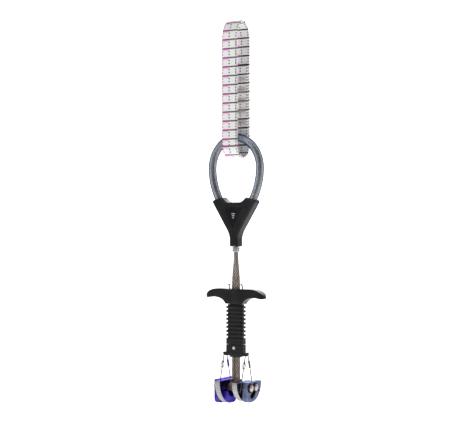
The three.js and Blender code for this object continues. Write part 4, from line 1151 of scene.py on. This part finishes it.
# %% The sewn tail
TAIL_BOTTOM, TAIL_TOP, TAIL_HALF_WIDTH, TAIL_DEPTH = 200.0, 258.0, 6.8, 7.15
tail_path = [at(0, TAIL_DEPTH, TAIL_BOTTOM + (TAIL_TOP - TAIL_BOTTOM) * i / 40) for i in range(41)]
sling_tail, tail_length = band("sling_tail", tail_path, strap_outline(TAIL_HALF_WIDTH, STRAP), False, -1)
take_over(sling_tail, webbing, "sling_webbing", "sling_overlap")

# %% [markdown]
# Bar tacks hold the two layers together. A bar tack is a close zigzag of thread, so one tree makes them
# all: it takes a line, sets a point every half stitch, and pushes the points up and down in turn. A second
# tree lays slanted stitches along the band's edge.

# %% Trees for stitches
def every_other(tree):
    """1 and -1 in turn along a curve."""
    index = grow(tree, "GeometryNodeInputIndex").outputs[0]
    return sums(tree, "SUBTRACT", sums(tree, "MULTIPLY", sums(tree, "MODULO", index, 2.0), 2.0), 1.0)


tack_tree, given, TACK = new_tree("bar_tack", ("Half stitch", "Float"), ("Reach", "Float"),
                                  ("Thread", "Float"), ("Material", "Material"))
line = grow(tack_tree, "GeometryNodeMeshToCurve", {"Mesh": given["Geometry"]}).outputs[0]
even = grow(tack_tree, "GeometryNodeResampleCurve", {"Curve": line, "Length": given["Half stitch"]},
            mode="LENGTH").outputs[0]
height = sums(tack_tree, "MULTIPLY", every_other(tack_tree), given["Reach"])
lift = grow(tack_tree, "ShaderNodeCombineXYZ", {2: height}).outputs[0]
zigzag = grow(tack_tree, "GeometryNodeSetPosition", {"Geometry": even, "Offset": lift}).outputs[0]
close_tree(tack_tree, skin_wire(tack_tree, zigzag, given["Thread"], 6), given["Material"])

edge_tree, given, EDGE = new_tree("slanted_stitches", ("Pitch", "Float"), ("Slant", "Float"),
                                  ("Size", "Vector"), ("Material", "Material"))
line = grow(edge_tree, "GeometryNodeMeshToCurve", {"Mesh": given["Geometry"]}).outputs[0]
even = grow(edge_tree, "GeometryNodeResampleCurve", {"Curve": line, "Length": given["Pitch"]}, mode="LENGTH")
tangent = grow(edge_tree, "GeometryNodeInputTangent").outputs[0]
slanted = vector_sums(edge_tree, "ADD", tangent, scaled(edge_tree, (1, 0, 0), given["Slant"]))
facing = grow(edge_tree, "FunctionNodeAlignRotationToVector", {"Vector": slanted}, axis="Z").outputs[0]
bead = grow(edge_tree, "GeometryNodeMeshUVSphere", {"Segments": 8, "Rings": 6, "Radius": 1.0}).outputs[0]
laid = grow(edge_tree, "GeometryNodeInstanceOnPoints", {
    "Points": even.outputs[0], "Instance": bead, "Rotation": facing, "Scale": given["Size"]}).outputs[0]
close_tree(edge_tree, laid, given["Material"])
print("stitch trees", len(tack_tree.nodes), len(edge_tree.nodes), "nodes")

# %% Bar tacks
def thread(name, dark, light):
    yarn = Finish(name, Specular_IOR_Level=0.3)
    twist = yarn.noise(yarn.place((3, 3, 3)), 1.5, 2)
    return yarn.finish(yarn.blend(twist, dark, light), yarn.between(twist, 0.55, 0.75), twist, 0.03)


pale_thread = thread("pale_thread", shade(0.76, 0.71, 0.65), shade(0.93, 0.89, 0.84))
dark_thread = thread("dark_thread", shade(0.03, 0.03, 0.035), shade(0.08, 0.075, 0.09))
TACKS, TACK_PERIOD, FIRST_TACK, TACK_REACH, TACK_HALF_WIDTH = 5, 8.7, 212.5, 2.3, 5.2
for word, y in (("inner", TAIL_DEPTH - STRAP / 2 - 0.02), ("outer", SLING_HALF_DEPTH + 0.02)):
    blocks = []
    for i in range(TACKS):
        z = FIRST_TACK + i * TACK_PERIOD
        blocks.append(run_tree(f"{word}_block_{i}", [at(-TACK_HALF_WIDTH, y, z), at(TACK_HALF_WIDTH, y, z)],
                               tack_tree, TACK, {"Half stitch": 0.26 * MM, "Reach": TACK_REACH * MM,
                                                 "Thread": 0.17 * MM, "Material": pale_thread}))
    tacks = joined_piece(f"{word}_bar_tacks", blocks)
    tacks.data.materials.append(pale_thread)
    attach(tacks, "sling")
    print(tacks.name, len(tacks.data.polygons), "faces")

# %% Edge stitches
outline = sling_path(0.02)
front_run = [p for p in outline if p.y < 0 and AXLE_LINE + 196 * MM < p.z < AXLE_LINE + 276 * MM]
front_run.sort(key=lambda p: p.z)
path = [Vector((6.35 * MM, p.y, p.z)) for p in front_run]
stitches = run_tree("edge_stitches", path, edge_tree, EDGE, {
    "Pitch": 1.8 * MM, "Slant": -0.9, "Size": (0.24 * MM, 0.24 * MM, 0.95 * MM), "Material": dark_thread})
stitches.data.materials.clear()
stitches.data.materials.append(dark_thread)
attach(stitches, "sling")
print("edge stitches", len(stitches.data.polygons), "faces")
